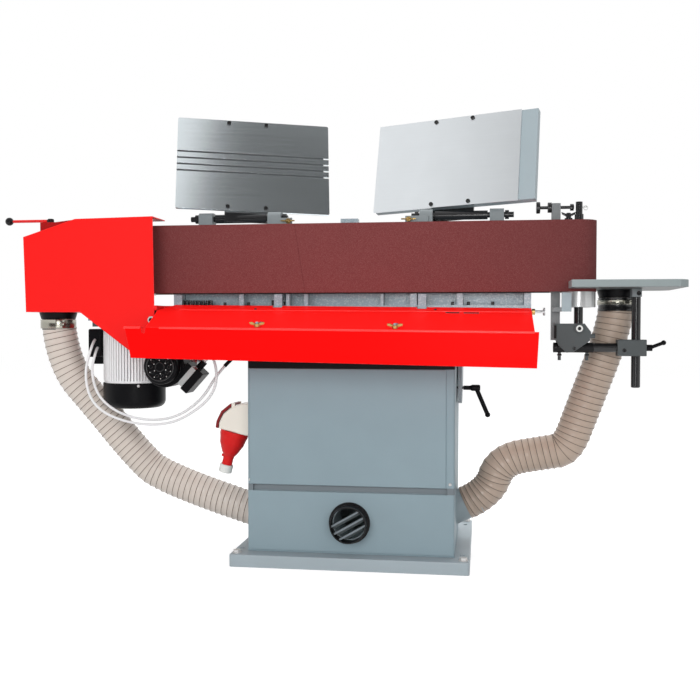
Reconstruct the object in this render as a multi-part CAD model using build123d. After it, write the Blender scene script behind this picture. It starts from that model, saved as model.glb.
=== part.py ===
"""Edge sander with a tilting belt head, an end table and two dust hoses.

Frame: X along the belt (right positive), Y away from the front, Z up, millimetres.
The origin is the middle of the base plate's underside.
"""
import math
import os

from build123d import *

# Belt and drums
BELT_LENGTH = 3000.0
BELT_WIDTH = 200.0
BELT_THICKNESS = 1.2
BELT_BOTTOM = 781.0
BELT_FRONT_Y = -190.0
BELT_GAP = 0.5
DRIVE_X = -680.5
DRIVE_RADIUS = 65.3
IDLER_X = 640.0
IDLER_RADIUS = 46.8
DRIVE_Y = BELT_FRONT_Y + BELT_THICKNESS + BELT_GAP + DRIVE_RADIUS
IDLER_Y = BELT_FRONT_Y + BELT_THICKNESS + BELT_GAP + IDLER_RADIUS
BELT_TOP = BELT_BOTTOM + BELT_WIDTH

# Base and column
BASE_LENGTH = 680.0
BASE_DEPTH = 574.0
BASE_HEIGHT = 35.0
BOLT_X, BOLT_Y = 322.0, 262.0
ANCHOR_X, ANCHOR_Y = 319.0, 205.0
ANCHOR_HOLE = 14.0
CABINET_HALF = 297.0
CABINET_FRONT = -237.0
CABINET_REAR = 163.0
CABINET_TOP = 595.0
PORT_Z = 125.0
PORT_RADIUS = 52.0
FLAP_X, FLAP_Z = -353.0, 453.5
FLAP_PIN = 1.6

# Tilt axis of the head
TILT_Y, TILT_Z = -40.0, 652.0
TILT_SHAFT_RADIUS = 20.0
SECTOR_RADIUS = 198.0
CLAMP_RADIUS = 152.0
CLAMP_STUD = 4.0

# Hoses
HOSE_RADIUS = 53.0
HOSE_VALLEY = 49.6
HOSE_BORE = 48.6
SPIGOT_RADIUS = 48.0
SPIGOT_BORE = 45.5
RIB_PITCH = 16.0
HOOD_PORT = (-919.0, -137.0)
TABLE_PORT = (757.0, -60.0)
LEFT_WALL_POINT = (-297.0, -43.0, 108.0)
LEFT_WALL_ANGLE = 17.0
RIGHT_WALL_POINT = (297.0, -20.0, 138.0)
RIGHT_WALL_ANGLE = 25.0
LEFT_HOSE_STANDOFF = 24.0
RIGHT_HOSE_STANDOFF = 30.0

# Head frame, platen and carriage rails
FRAME_LEFT, FRAME_RIGHT = -536.0, 507.0
FRAME_FRONT, FRAME_BACK = -178.0, -112.0
FRAME_BOTTOM, FRAME_TOP = 690.0, 972.0
RAIL_BOTTOM, RAIL_TOP = 700.0, 722.0
RAIL_LEFT = -796.0
PLATEN_RIGHT = 555.0
RIBS = ((-536.0, -511.0), (-337.0, -323.0), (-196.0, -186.0), (-143.0, -131.0), (81.5, 89.5), (166.0, 186.0),
        (298.5, 316.5), (487.0, 507.0))

# Drive unit
MOTOR_RADIUS = 92.0
MOTOR_TOP = 682.0
MOTOR_BOTTOM = 513.0
FAN_BOTTOM = 437.0
LEVER_X, LEVER_Y = -950.0, -120.0
LEVER_PIN = 9.0
CABLE_RADIUS = 3.8

# Oscillation gear motor
OSC_X, OSC_Z = -525.6, 569.0
OSC_FRONT = -330.0
OSC_TERMINAL_TURN = 42.0

# Apron: a sloping sheet with a front lip, hung a little lower at its right end
APRON_SLOPE = 17.6
APRON_TURN = 0.63
APRON_REAR_Y, APRON_REAR_Z = -194.0, 741.0
APRON_LENGTH = 216.0
APRON_SHEET = 2.5
APRON_STUDS = (-231.0, 143.0)
APRON_TABS = ((-229.0, -205.0), (190.0, 213.0))
STUD_AT = 199.0
WING_SPAN = 20.0

# Swing-up plates
HINGE_Y, HINGE_Z = -130.0, 1004.0
HINGE_RADIUS = 8.0
LEFT_PLATE = dict(at=(-305.3, -130.0, 1025.7), yaw=17.9, lean=17.7, roll=-1.7, width=458.0, height=298.0)
RIGHT_PLATE = dict(at=(257.6, -130.0, 1029.5), yaw=-16.9, lean=15.1, roll=1.8, width=439.0, height=279.0)

# Idler end and end table
PIVOT_Z = 678.0
YOKE_LEFT, YOKE_RIGHT = 564.0, 588.0
YOKE_TOP = 1031.0
TRACK_Z = 1020.0
BAR_Z = 624.0
BAR_RADIUS = 13.0
POST_X = 798.0
POST_RADIUS = 12.5
TABLE_TOP = 809.0
TABLE_THICK = 20.0
TABLE_LEFT, TABLE_RIGHT = 607.0, 911.0
TABLE_FRONT, TABLE_REAR = -296.0, 12.0
TABLE_CUT = 60.0


def block(x0, x1, y0, y1, z0, z1):
    """Box between two corners."""
    return Pos((x0 + x1) / 2, (y0 + y1) / 2, (z0 + z1) / 2) * Box(abs(x1 - x0), abs(y1 - y0), abs(z1 - z0))


def rod(start, end, radius, end_radius=None):
    """Round bar, or cone, from one point to another."""
    a, b = Vector(*start), Vector(*end)
    plane = Plane(origin=a, z_dir=(b - a).normalized())
    if end_radius is None:
        return Solid.make_cylinder(radius, (b - a).length, plane)
    return Solid.make_cone(radius, end_radius, (b - a).length, plane)


def pipe(start, end, radius, bore):
    """Round bar with a bore through it."""
    return rod(start, end, radius) - rod(start, end, bore)


def slab_y(outline, y0, y1):
    """Outline of (x, z) points pushed from y0 to y1."""
    face = Face(Wire.make_polygon([(x, y0, z) for x, z in outline]))
    return Solid.extrude(face, Vector(0, y1 - y0, 0))


def slab_x(outline, x0, x1):
    """Outline of (y, z) points pushed from x0 to x1."""
    face = Face(Wire.make_polygon([(x0, y, z) for y, z in outline]))
    return Solid.extrude(face, Vector(x1 - x0, 0, 0))


def slab_z(outline, z0, z1):
    """Outline of (x, y) points pushed from z0 to z1."""
    face = Face(Wire.make_polygon([(x, y, z0) for x, y in outline]))
    return Solid.extrude(face, Vector(0, 0, z1 - z0))


def joined(*shapes):
    """Fuse shapes into one solid."""
    total = shapes[0]
    for shape in shapes[1:]:
        total = total + shape
    return total


def group(shapes):
    """Several separate solids kept as one piece."""
    return Compound([solid for shape in shapes for solid in shape.solids()])


def turned(profile, origin, x_dir, z_dir):
    """Turned solid from (radius, height) points about the local z axis."""
    face = Plane.XZ * make_face(Polyline(*profile, close=True))
    return Plane(origin=origin, x_dir=x_dir, z_dir=z_dir) * revolve(face, Axis.Z)


def knobbed_rod(start, end, radius, ball):
    """Round bar from one point to another with a ball centred on its far end."""
    a, b = Vector(*start), Vector(*end)
    length = (b - a).length
    neck = length - math.sqrt(ball * ball - radius * radius)
    outline = Curve() + [
        Line((0, 0), (radius, 0)),
        Line((radius, 0), (radius, neck)),
        ThreePointArc((radius, neck), (ball, length), (0, length + ball)),
        Line((0, length + ball), (0, 0)),
    ]
    bar = revolve(Plane.XZ * make_face(outline), Axis.Z)
    return Plane(origin=a, z_dir=(b - a).normalized()) * bar


def hex_bolt(at, across, head, shank_radius, shank, direction):
    """Hexagon bolt whose head sits at a point and whose shank runs against the direction."""
    plane = Plane(origin=at, z_dir=direction)
    top = plane * extrude(RegularPolygon(across / 2, 6, major_radius=False), head)
    way = Vector(*direction)
    return joined(top, rod(at, tuple(Vector(*at) - way * shank), shank_radius))


# Column


def base_plate():
    plate = block(-BASE_LENGTH / 2, BASE_LENGTH / 2, -BASE_DEPTH / 2, BASE_DEPTH / 2, 0, BASE_HEIGHT)
    plate = fillet(plate.edges().filter_by(Axis.Z), 9)
    plate = fillet(plate.faces().sort_by(Axis.Z)[-1].edges(), 3)
    for sx in (-1, 1):
        for sy in (-1, 1):
            plate -= rod((sx * BOLT_X, sy * BOLT_Y, -1), (sx * BOLT_X, sy * BOLT_Y, BASE_HEIGHT + 1), 6.3)
            plate -= rod((sx * ANCHOR_X, sy * ANCHOR_Y, -1), (sx * ANCHOR_X, sy * ANCHOR_Y, BASE_HEIGHT + 1),
                         ANCHOR_HOLE / 2)
    return plate


def base_bolts():
    bolts = []
    for sx in (-1, 1):
        for sy in (-1, 1):
            bolts.append(hex_bolt((sx * BOLT_X, sy * BOLT_Y, BASE_HEIGHT), 19, 9, 6, 32, (0, 0, 1)))
    return group(bolts)


def spigot_way(side):
    """Point on the wall and outward direction of one hose spigot."""
    if side < 0:
        point, angle = LEFT_WALL_POINT, math.radians(LEFT_WALL_ANGLE)
    else:
        point, angle = RIGHT_WALL_POINT, math.radians(RIGHT_WALL_ANGLE)
    return Vector(*point), Vector(side * math.cos(angle), 0, math.sin(angle))


def column_cabinet():
    body = block(-CABINET_HALF, CABINET_HALF, CABINET_FRONT, CABINET_REAR, BASE_HEIGHT, CABINET_TOP)
    body = fillet(body.edges().filter_by(Axis.Z), 7)
    body = fillet(body.faces().sort_by(Axis.Z)[-1].edges(), 4)
    body -= block(-CABINET_HALF + 4, CABINET_HALF - 4, CABINET_FRONT + 12, CABINET_REAR - 4, BASE_HEIGHT - 1,
                  CABINET_TOP - 10)
    body -= block(-281, 276, CABINET_FRONT - 1, CABINET_FRONT + 8, 211, 229)
    body -= block(-CABINET_HALF - 1, CABINET_HALF + 1, CABINET_FRONT - 1, CABINET_FRONT + 5, BASE_HEIGHT - 1, 41)
    body -= rod((0, CABINET_FRONT - 1, PORT_Z), (0, CABINET_FRONT + 13, PORT_Z), PORT_RADIUS + 0.3)
    for side in (-1, 1):
        point, way = spigot_way(side)
        body -= rod(tuple(point - way * 60), tuple(point + way * 60), SPIGOT_RADIUS + 0.6)
    return body


def front_panel():
    panel = block(-290, 273, CABINET_FRONT - 4, CABINET_FRONT, 230, 563)
    return fillet(panel.faces().sort_by(Axis.Y)[0].edges(), 2.5)


def extraction_port():
    front = CABINET_FRONT
    ring = pipe((0, front - 38, PORT_Z), (0, front + 11, PORT_Z), PORT_RADIUS, PORT_RADIUS - 3)
    flange = pipe((0, front - 4, PORT_Z), (0, front, PORT_Z), PORT_RADIUS + 7, PORT_RADIUS - 3)
    port = joined(ring, flange)
    inside = rod((0, front - 26, PORT_Z), (0, front - 14, PORT_Z), PORT_RADIUS - 1)
    for shift in (-25, -4, 18):
        slat = Pos(0, front - 20, PORT_Z) * Rot(0, -30, 0) * Pos(0, 0, shift) * Box(120, 12, 5)
        port += slat & inside
    return port


def dust_manifold():
    half = 225
    body = block(-half, half, -105, 45, BASE_HEIGHT, 205)
    hollow = block(-half + 3, half - 3, -102, 42, BASE_HEIGHT + 3, 202)
    front = rod((0, -104, PORT_Z), (0, CABINET_FRONT - 2, PORT_Z), PORT_RADIUS - 3.5)
    front_bore = rod((0, -100, PORT_Z), (0, CABINET_FRONT - 3, PORT_Z), PORT_RADIUS - 6)
    tubes, bores = [front], [front_bore]
    for side in (-1, 1):
        point, way = spigot_way(side)
        inner = point - way * ((CABINET_HALF - half + 6) / abs(way.X))
        outer = point + way * 72
        tubes.append(rod(tuple(inner), tuple(outer), SPIGOT_RADIUS))
        bores.append(rod(tuple(inner - way * 40), tuple(outer + way), SPIGOT_BORE))
    body = joined(body, *tubes) - hollow
    for bore in bores:
        body -= bore & block(-500, 500, -400, 300, BASE_HEIGHT + 3, 400)
    return body


def inlet_housing():
    outline = [(-297, 361), (-318, 362), (-398, 382), (-396, 400), (-384, 425), (-362, 443), (-335, 455), (-297, 458)]
    body = slab_y(outline, -188, -112)
    front_and_back = body.faces().sort_by(Axis.Y)
    edges = [edge for face in (front_and_back[0], front_and_back[-1]) for edge in face.edges()
             if edge.center().X < -300]
    body = fillet(edges, 5)
    lug = [(-358, 440), (-348, 440), (-348, 457), (-358, 457)]
    pin = rod((FLAP_X, -187, FLAP_Z), (FLAP_X, -113, FLAP_Z), FLAP_PIN)
    return joined(body, slab_y(lug, -187, -181), slab_y(lug, -119, -113), pin)


def inlet_flap():
    outline = [(-352, 449.5), (-362, 446), (-386.5, 427), (-399, 401.5), (-401.5, 382), (-409, 384), (-406, 404),
               (-391.5, 433), (-364, 455), (-354, 457)]
    knuckle = rod((FLAP_X, -180, FLAP_Z), (FLAP_X, -120, FLAP_Z), 3.4)
    bore = rod((FLAP_X, -181, FLAP_Z), (FLAP_X, -119, FLAP_Z), FLAP_PIN + 0.1)
    return joined(slab_y(outline, -180, -120), knuckle) - bore


def power_connector():
    way = Vector(-0.2425, 0, -0.9701)
    at = (-358.2, -150, 371.3)
    shell = [(0, 0), (42, 0), (42, 13), (39, 24), (36, 40), (24, 66), (17, 76), (15.5, 84), (15.5, 103), (0, 103)]
    ring = [(0, 103.2), (20, 103.2), (20, 126), (16, 128), (0, 128)]
    solids = [turned(profile, at, (0, 1, 0), tuple(way)) for profile in (shell, ring)]
    latch = rod((-398, -150, 300), (-378, -150, 293), 4, 6)
    solids[0] = joined(solids[0], latch)
    return group(solids)


def switch_box():
    body = block(120, 210, CABINET_REAR, CABINET_REAR + 60, 415, 560)
    body = fillet(body.edges().filter_by(Axis.Y), 8)
    body -= block(124, 206, CABINET_REAR + 3, CABINET_REAR + 55, 419, 556)
    for height in (525, 457):
        body -= rod((165, CABINET_REAR + 50, height), (165, CABINET_REAR + 61, height), 11.1)
    return body


def button(height, cap_radius, cap_depth):
    face = CABINET_REAR + 60
    stem = rod((165, face - 20, height), (165, face + 6, height), 11)
    keeper = rod((165, face - 9, height), (165, face - 5.4, height), 14)
    cap = rod((165, face + 5, height), (165, face + 5 + cap_depth, height), cap_radius)
    cap = fillet(cap.faces().sort_by(Axis.Y)[-1].edges(), 2)
    return joined(stem, keeper, cap)


def tilt_bearings():
    blocks = []
    for side in (-1, 1):
        x0, x1 = sorted((side * 205, side * 255))
        foot = block(x0, x1, TILT_Y - 75, TILT_Y + 75, CABINET_TOP, CABINET_TOP + 16)
        web = slab_x([(TILT_Y - 60, CABINET_TOP + 15), (TILT_Y - 40, TILT_Z), (TILT_Y + 40, TILT_Z),
                      (TILT_Y + 60, CABINET_TOP + 15)], x0 + 6, x1 - 6)
        boss = rod((x0, TILT_Y, TILT_Z), (x1, TILT_Y, TILT_Z), 40)
        bore = rod((x0 - 1, TILT_Y, TILT_Z), (x1 + 1, TILT_Y, TILT_Z), TILT_SHAFT_RADIUS + 0.05)
        blocks.append(joined(foot, web, boss) - bore)
    z = TILT_Z - CLAMP_RADIUS
    blocks.append(rod((CABINET_HALF, TILT_Y, z), (352, TILT_Y, z), CLAMP_STUD))
    return group(blocks)


def tilt_clamp_lever():
    z = TILT_Z - CLAMP_RADIUS
    bore_radius = CLAMP_STUD + 0.08
    hub = turned([(bore_radius, 0), (6.5, 0), (6.5, 20), (9.5, 26), (9.5, 46), (7, 50), (0, 50), (0, 40),
                  (bore_radius, 40)], (316, TILT_Y, z), (0, 1, 0), (1, 0, 0))
    handle = knobbed_rod((356, TILT_Y, z - 5), (388, TILT_Y, z - 80), 6.5, 8)
    bore = rod((315, TILT_Y, z), (356, TILT_Y, z), bore_radius)
    return joined(hub, handle) - bore


# Head


def tilt_shaft():
    shaft = rod((-262, TILT_Y, TILT_Z), (314, TILT_Y, TILT_Z), TILT_SHAFT_RADIUS)
    return chamfer(shaft.edges().filter_by(GeomType.CIRCLE), 2)


def tilt_saddles():
    lugs = []
    for side in (-1, 1):
        x0, x1 = sorted((side * 140, side * 182))
        arm = slab_x([(FRAME_FRONT + 4, FRAME_BOTTOM), (TILT_Y + 30, FRAME_BOTTOM), (TILT_Y + 38, TILT_Z),
                      (TILT_Y - 20, TILT_Z - 34), (FRAME_FRONT + 4, FRAME_BOTTOM - 30)], x0, x1)
        boss = rod((x0, TILT_Y, TILT_Z), (x1, TILT_Y, TILT_Z), 38)
        bore = rod((x0 - 1, TILT_Y, TILT_Z), (x1 + 1, TILT_Y, TILT_Z), TILT_SHAFT_RADIUS + 0.02)
        lugs.append(joined(arm, boss) - bore)
    return group(lugs)


def polar_point(radius, degrees):
    """Point in the tilt plane, measured from straight down towards the rear."""
    angle = math.radians(degrees)
    return (TILT_Y + radius * math.sin(angle), TILT_Z - radius * math.cos(angle))


def tilt_sector():
    x0, x1 = 301.0, 312.0
    steps = range(-14, 105, 2)
    rim = [polar_point(SECTOR_RADIUS, step) for step in steps]
    plate = slab_x([(TILT_Y - 10, TILT_Z + 20)] + rim + [(TILT_Y + 10, TILT_Z + 36)], x0, x1)
    hub = rod((x0, TILT_Y, TILT_Z), (x1 + 2, TILT_Y, TILT_Z), 36)
    slot_steps = range(-2, 93, 2)
    outer = [polar_point(CLAMP_RADIUS + 7.5, step) for step in slot_steps]
    inner = [polar_point(CLAMP_RADIUS - 7.5, step) for step in reversed(slot_steps)]
    slot = slab_x(outer + inner, x0 - 1, x1 + 3)
    ends = [rod((x0 - 1, *polar_point(CLAMP_RADIUS, step)), (x1 + 3, *polar_point(CLAMP_RADIUS, step)), 7.5)
            for step in (-2, 92)]
    bore = rod((x0 - 1, TILT_Y, TILT_Z), (x1 + 3, TILT_Y, TILT_Z), TILT_SHAFT_RADIUS + 0.06)
    return joined(plate, hub) - slot - ends[0] - ends[1] - bore


def head_frame():
    web = block(FRAME_LEFT, FRAME_RIGHT, -140, -126, FRAME_BOTTOM, FRAME_TOP)
    bottom = block(FRAME_LEFT, FRAME_RIGHT, FRAME_FRONT, FRAME_BACK, FRAME_BOTTOM, 744)
    top = block(FRAME_LEFT, FRAME_RIGHT, FRAME_FRONT, FRAME_BACK, FRAME_TOP - 17, FRAME_TOP)
    parts = [web, bottom, top]
    for x0, x1 in RIBS:
        parts.append(block(x0, x1, FRAME_FRONT, FRAME_BACK, 740, FRAME_TOP - 10))
    parts.append(block(-35, 15, FRAME_FRONT, -146, FRAME_TOP - 1, 994))
    parts.append(block(RAIL_LEFT, -400, -198, FRAME_FRONT, RAIL_BOTTOM, RAIL_TOP))
    parts.append(block(RAIL_LEFT, -400, -98, -78, RAIL_BOTTOM, RAIL_TOP))
    parts.append(block(FRAME_LEFT, -400, FRAME_BACK, -78, RAIL_BOTTOM, RAIL_TOP))
    parts.append(block(RAIL_LEFT, -782, -112, -78, RAIL_BOTTOM, 775))
    parts.append(block(LEVER_X, -782, LEVER_Y - 14, LEVER_Y + 14, 757, 775))
    parts.append(rod((LEVER_X, LEVER_Y, 757), (LEVER_X, LEVER_Y, 775), 14))
    frame = joined(*parts)
    frame -= rod((LEVER_X, LEVER_Y, 750), (LEVER_X, LEVER_Y, 780), 8.06)
    stop_rod = joined(rod((FRAME_RIGHT - 2, -170, 725), (545, -170, 725), 4),
                      rod((543, -170, 714), (543, -170, 736), 3))
    return joined(frame, stop_rod)


def platen():
    return block(FRAME_LEFT + 2, PLATEN_RIGHT, -186, FRAME_FRONT, BELT_BOTTOM + 5, BELT_TOP - 5)


def graphite_pad():
    return block(FRAME_LEFT + 2, PLATEN_RIGHT, -188.2, -186, BELT_BOTTOM - 3.5, BELT_TOP - 5)


def loop_face(offset, z):
    """Face inside the belt loop, at a distance from the drums' faces."""
    a, b = Vector(DRIVE_X, DRIVE_Y), Vector(IDLER_X, IDLER_Y)
    ra, rb = DRIVE_RADIUS + offset, IDLER_RADIUS + offset
    way = (b - a).normalized()
    front = Vector(0, -1)
    back = way * (2 * front.dot(way)) - front
    a0, b0, a1, b1 = a + front * ra, b + front * rb, a + back * ra, b + back * rb
    edges = [Line(a0, b0), ThreePointArc(b0, b + way * rb, b1), Line(b1, a1), ThreePointArc(a1, a - way * ra, a0)]
    return Pos(0, 0, z) * make_face(Curve() + edges), (b1 - a1).length + (b0 - a0).length


def sanding_belt():
    outer, _ = loop_face(BELT_GAP + BELT_THICKNESS, BELT_BOTTOM)
    inner, _ = loop_face(BELT_GAP, BELT_BOTTOM)
    return extrude(outer - inner, BELT_WIDTH, dir=(0, 0, 1))


HOOD_OUTLINE = [(-975, 947), (-813, 998), (-576, 1002), (-570, 614), (-650, 614), (-800, 725), (-968, 725)]


def hood_hole():
    return rod((*HOOD_PORT, 700), (*HOOD_PORT, 760), SPIGOT_BORE + 0.2)


def hood_front():
    shell = slab_y(HOOD_OUTLINE, -247, -140)
    inner = [(-972.4, 945), (-812.6, 995.4), (-540, 999.5), (-540, 560), (-803, 560), (-803, 727.5), (-965.6, 727.5)]
    shell -= slab_y(inner, -244.5, -139)
    bracket = block(-612, -566, -245, FRAME_FRONT, 730, 744)
    bracket += block(-612, FRAME_LEFT, FRAME_FRONT, -160, 730, 744)
    return joined(shell, bracket) - hood_hole()


def hood_rear():
    top = [(-975, 1001.5), (-925, 1002), (-862, 1009), (-662, 1009)]
    outline = top + [(-662, 690), (-800, 690), (-800, 725), (-968, 725)]
    shell = slab_y(outline, -140, -20)
    inner = [(-972.4, 999), (-924.5, 999.5), (-861.5, 1006.4), (-540, 1006.4), (-540, 560), (-797.5, 560),
             (-797.5, 727.5), (-965.6, 727.5)]
    shell -= slab_y(inner, -141, -22.5)
    fill = slab_y([(-975, 947.5)] + top + [(-662, 1001), (-813, 998.5)], -140, -137.5)
    bracket = joined(block(-612, FRAME_LEFT, -126, -22, 730, 744), block(-690, -600, -60, -20, 730, 744))
    hole = rod((LEVER_X, LEVER_Y, 990), (LEVER_X, LEVER_Y, 1010), 9)
    return joined(shell, fill, bracket) - hood_hole() - hole


def hood_port():
    cone = turned([(SPIGOT_BORE, 0), (56, 0), (55, -5), (50.5, -20), (SPIGOT_RADIUS, -20), (SPIGOT_RADIUS, -52),
                   (SPIGOT_BORE, -52)], (*HOOD_PORT, 725), (1, 0, 0), (0, 0, 1))
    return cone


def osc_motor():
    cowl = rod((OSC_X, OSC_FRONT, OSC_Z), (OSC_X, OSC_FRONT + 36, OSC_Z), 49.5)
    cowl = fillet(cowl.faces().sort_by(Axis.Y)[0].edges(), 7)
    body = rod((OSC_X, OSC_FRONT + 32, OSC_Z), (OSC_X, -234, OSC_Z), 60)
    body = fillet(body.faces().sort_by(Axis.Y)[0].edges(), 4)
    gearbox = block(OSC_X - 42, OSC_X + 46, -236, -142, OSC_Z - 48, OSC_Z + 48)
    gearbox = fillet(gearbox.edges().filter_by(Axis.Y), 10)
    hanger = block(OSC_X - 14, OSC_X + 42, -176, -144, OSC_Z + 40, FRAME_BOTTOM)
    cover = fillet(block(77, 101, -302, -236, -13, 62).edges(), 3)
    gland = rod((72, -262, 54), (72, -262, 82), 10)
    terminal = joined(block(45, 79, -298, -240, -8, 56), cover, gland)
    terminal = Pos(OSC_X, 0, OSC_Z) * Rot(0, OSC_TERMINAL_TURN, 0) * terminal
    output = rod((OSC_X + 40, -172, OSC_Z), (OSC_X + 52, -172, OSC_Z), 14)
    bore = rod((OSC_X + 30, -172, OSC_Z), (OSC_X + 53, -172, OSC_Z), 8.05)
    return joined(cowl, body, gearbox, hanger, terminal, output) - bore


def osc_crank():
    x = OSC_X + 52.4
    stub = rod((x - 18, -172, OSC_Z), (x + 12, -172, OSC_Z), 8)
    disc = rod((x, -172, OSC_Z), (x + 12, -172, OSC_Z), 22)
    pin = rod((x + 11, -172, OSC_Z + 13), (x + 26, -172, OSC_Z + 13), 5)
    return joined(stub, disc, pin)


def apron_frame():
    """Location of the apron: x along the crease, y back up the slope, z out of the sheet."""
    slope = math.radians(APRON_SLOPE)
    plane = Plane(origin=(0, APRON_REAR_Y, APRON_REAR_Z), x_dir=(1, 0, 0),
                  z_dir=(0, -math.sin(slope), math.cos(slope)))
    return Pos(-42, 0, 708) * Rot(0, APRON_TURN, 0) * Pos(42, 0, -708) * Location(plane)


def apron_point(x, along, above):
    """Point of the machine at a place on the apron."""
    return (apron_frame() * Pos(x, -along, above)).position


def front_apron():
    length = APRON_LENGTH
    outline = [(-525, 0), (506, 0), (506, -length), (-541, -length), (-555, -100), (-563, -57)]
    sheet = slab_z(outline, -APRON_SHEET, 0)
    for x0, x1 in APRON_TABS:
        sheet -= block(x0 - 2, x1 + 2, -16, 1, -5, 5)
    for x in APRON_STUDS:
        sheet -= block(x - 4.6, x + 4.6, -STUD_AT - 5, -STUD_AT + 51, -5, 5)
    for x0, x1 in ((270, 308), (320, 362)):
        sheet -= block(x0, x1, -57, -46, -5, 5)
    slope = math.radians(APRON_SLOPE)
    lip_outline = [(-601, 0), (-553, 0), (-551, -16), (-543, -16), (-541, 0), (517, 0), (513, -94), (-582, -85)]
    lip = Solid.extrude(Face(Wire.make_polygon([(x, 0, z) for x, z in lip_outline])), Vector(0, APRON_SHEET, 0))
    fold = block(-601, -553, 0, 14, -APRON_SHEET, 0)
    lip = Pos(0, -length, 0) * Rot(-APRON_SLOPE, 0, 0) * joined(lip, fold)
    return apron_frame() * joined(sheet, lip)


def apron_arms():
    solids = []
    for x, (t0, t1) in zip(APRON_STUDS, APRON_TABS):
        arm = block(x - 17, x + 17, -212, 12, -11, -3)
        stud = rod((x, -STUD_AT, -6), (x, -STUD_AT, 13), 4)
        arm = apron_frame() * joined(arm, stud)
        root = block(min(x - 17, t0), max(x + 17, t1), -191, FRAME_FRONT, 700, 733)
        tab = block(t0, t1, -191, FRAME_FRONT, 720, 776)
        solids.append(joined(arm, root, tab) - block(-900, 900, FRAME_FRONT, 0, 600, 900))
    return group(solids)


def wing_nut():
    """Wing nut standing on z = 0, bored for its stud."""
    span = WING_SPAN
    hub = turned([(4.1, 0), (8, 0), (7, 9), (4.1, 9)], (0, 0, 0), (1, 0, 0), (0, 0, 1))
    wings = []
    for side in (-1, 1):
        wing = slab_y([(side * 5, 2), (side * span, 7), (side * (span + 1), 12), (side * (span - 6), 13),
                       (side * 5, 9)], -1.7, 1.7)
        wings.append(wing)
    return joined(hub, *wings) - rod((0, 0, -1), (0, 0, 30), 4.1)


def apron_wing_nut(index):
    return apron_frame() * Pos(APRON_STUDS[index], -STUD_AT, 0.3) * wing_nut()


HINGE_BLOCKS = ((-468, -426), (-258, -218), (190, 228), (391, 431))
LOCK_SCREWS = ((-193, (-246, -183)), (160, (150, 216)))
LOCK_Z = 992.0


def hinge_blocks():
    blocks = []
    for x0, x1 in HINGE_BLOCKS:
        body = block(x0, x1, -150, -110, FRAME_TOP, HINGE_Z + 17)
        body = fillet(body.edges().filter_by(Axis.X).group_by(Axis.Z)[-1], 12)
        for screw_x, tab in LOCK_SCREWS:
            if tab[0] < (x0 + x1) / 2 < tab[1]:
                body += block(*tab, -157, -150, FRAME_TOP + 4, HINGE_Z - 2)
                body -= rod((screw_x, -158, LOCK_Z), (screw_x, -149, LOCK_Z), 3.3)
        blocks.append(body - rod((x0 - 1, HINGE_Y, HINGE_Z), (x1 + 1, HINGE_Y, HINGE_Z), HINGE_RADIUS + 0.06))
    return group(blocks)


def plate_lock_screws():
    screws = []
    for x, _ in LOCK_SCREWS:
        nut = Plane(origin=(x, -157.2, LOCK_Z), x_dir=(1, 0, 0), z_dir=(0, -1, 0)) * wing_nut()
        screw = rod((x, -146, LOCK_Z), (x, -170, LOCK_Z), 3)
        head = rod((x, -149.8, LOCK_Z), (x, -145, LOCK_Z), 6)
        thread = rod((x, -166, LOCK_Z), (x, -157.4, LOCK_Z), 4.3)
        screws.append(joined(nut, screw, head, thread))
    return group(screws)


def plate_plane(spec):
    """Plane of a plate's front face: x along it, y up it, z towards the front."""
    yaw, lean, roll = (math.radians(spec[key]) for key in ("yaw", "lean", "roll"))
    back = Vector(-math.sin(yaw), math.cos(yaw), 0)
    along = Vector(math.cos(yaw), math.sin(yaw), 0)
    up = Vector(0, 0, math.cos(lean)) + back * math.sin(lean)
    x_dir = along * math.cos(roll) + up * math.sin(roll)
    return Plane(origin=spec["at"], x_dir=x_dir, z_dir=x_dir.cross(up * math.cos(roll) - along * math.sin(roll)))


PLATE_SHEET = 8.0
GROOVES = (0.415, 0.485, 0.555, 0.625)


def left_plate():
    width, height = LEFT_PLATE["width"], LEFT_PLATE["height"]
    plate = block(-width / 2, width / 2, 0, height, -PLATE_SHEET, 0)
    plate = fillet(plate.edges().filter_by(Axis.Z), 5)
    for share in GROOVES:
        y = height * share
        plate -= block(-width / 2 - 1, width / 2 + 1, y - 3, y + 3, -3, 1)
        plate -= block(width / 2 - 16, width / 2 + 1, y - 3, y + 3, -PLATE_SHEET - 1, 1)
    return Location(plate_plane(LEFT_PLATE)) * plate


def right_plate():
    width, height = RIGHT_PLATE["width"], RIGHT_PLATE["height"]
    plate = block(-width / 2, width / 2, 0, height, -3, 0)
    plate = fillet(plate.edges().filter_by(Axis.Z), 3)
    return Location(plate_plane(RIGHT_PLATE)) * plate


def right_plate_carrier():
    width, height = RIGHT_PLATE["width"], RIGHT_PLATE["height"]
    box = block(-width / 2 + 4, width / 2 + 47, 2, height - 2, -27, -3)
    box -= block(-width / 2 + 7, width / 2 + 44, 5, height - 5, -28, -6)
    return Location(plate_plane(RIGHT_PLATE)) * box


def plate_bracket(spec, blocks, depth, straps, ends):
    """Hinge shaft with its hub, and the two straps that carry a plate."""
    height = spec["height"]
    (x0, x1), (x2, x3) = blocks
    hub = rod((x1 + 6, HINGE_Y, HINGE_Z), (x2 - 6, HINGE_Y, HINGE_Z), 13)
    shaft = rod((ends[0], HINGE_Y, HINGE_Z), (ends[1], HINGE_Y, HINGE_Z), HINGE_RADIUS)
    nuts = []
    for x, side in ((x0 - 3, -1), (x3 + 3, 1)):
        a, b = (x, HINGE_Y, HINGE_Z), (x + side * 11, HINGE_Y, HINGE_Z)
        nuts.append(rod(a, b, 13))
    low = block(straps[0] - 9, straps[1] + 9, -32, 46, -depth - 6, -depth)
    bars = [block(s - 9, s + 9, 40, height - 8, -depth - 6, -depth) for s in straps]
    carrier = Location(plate_plane(spec)) * joined(low, *bars)
    return joined(hub, shaft, carrier, *nuts)


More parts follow.
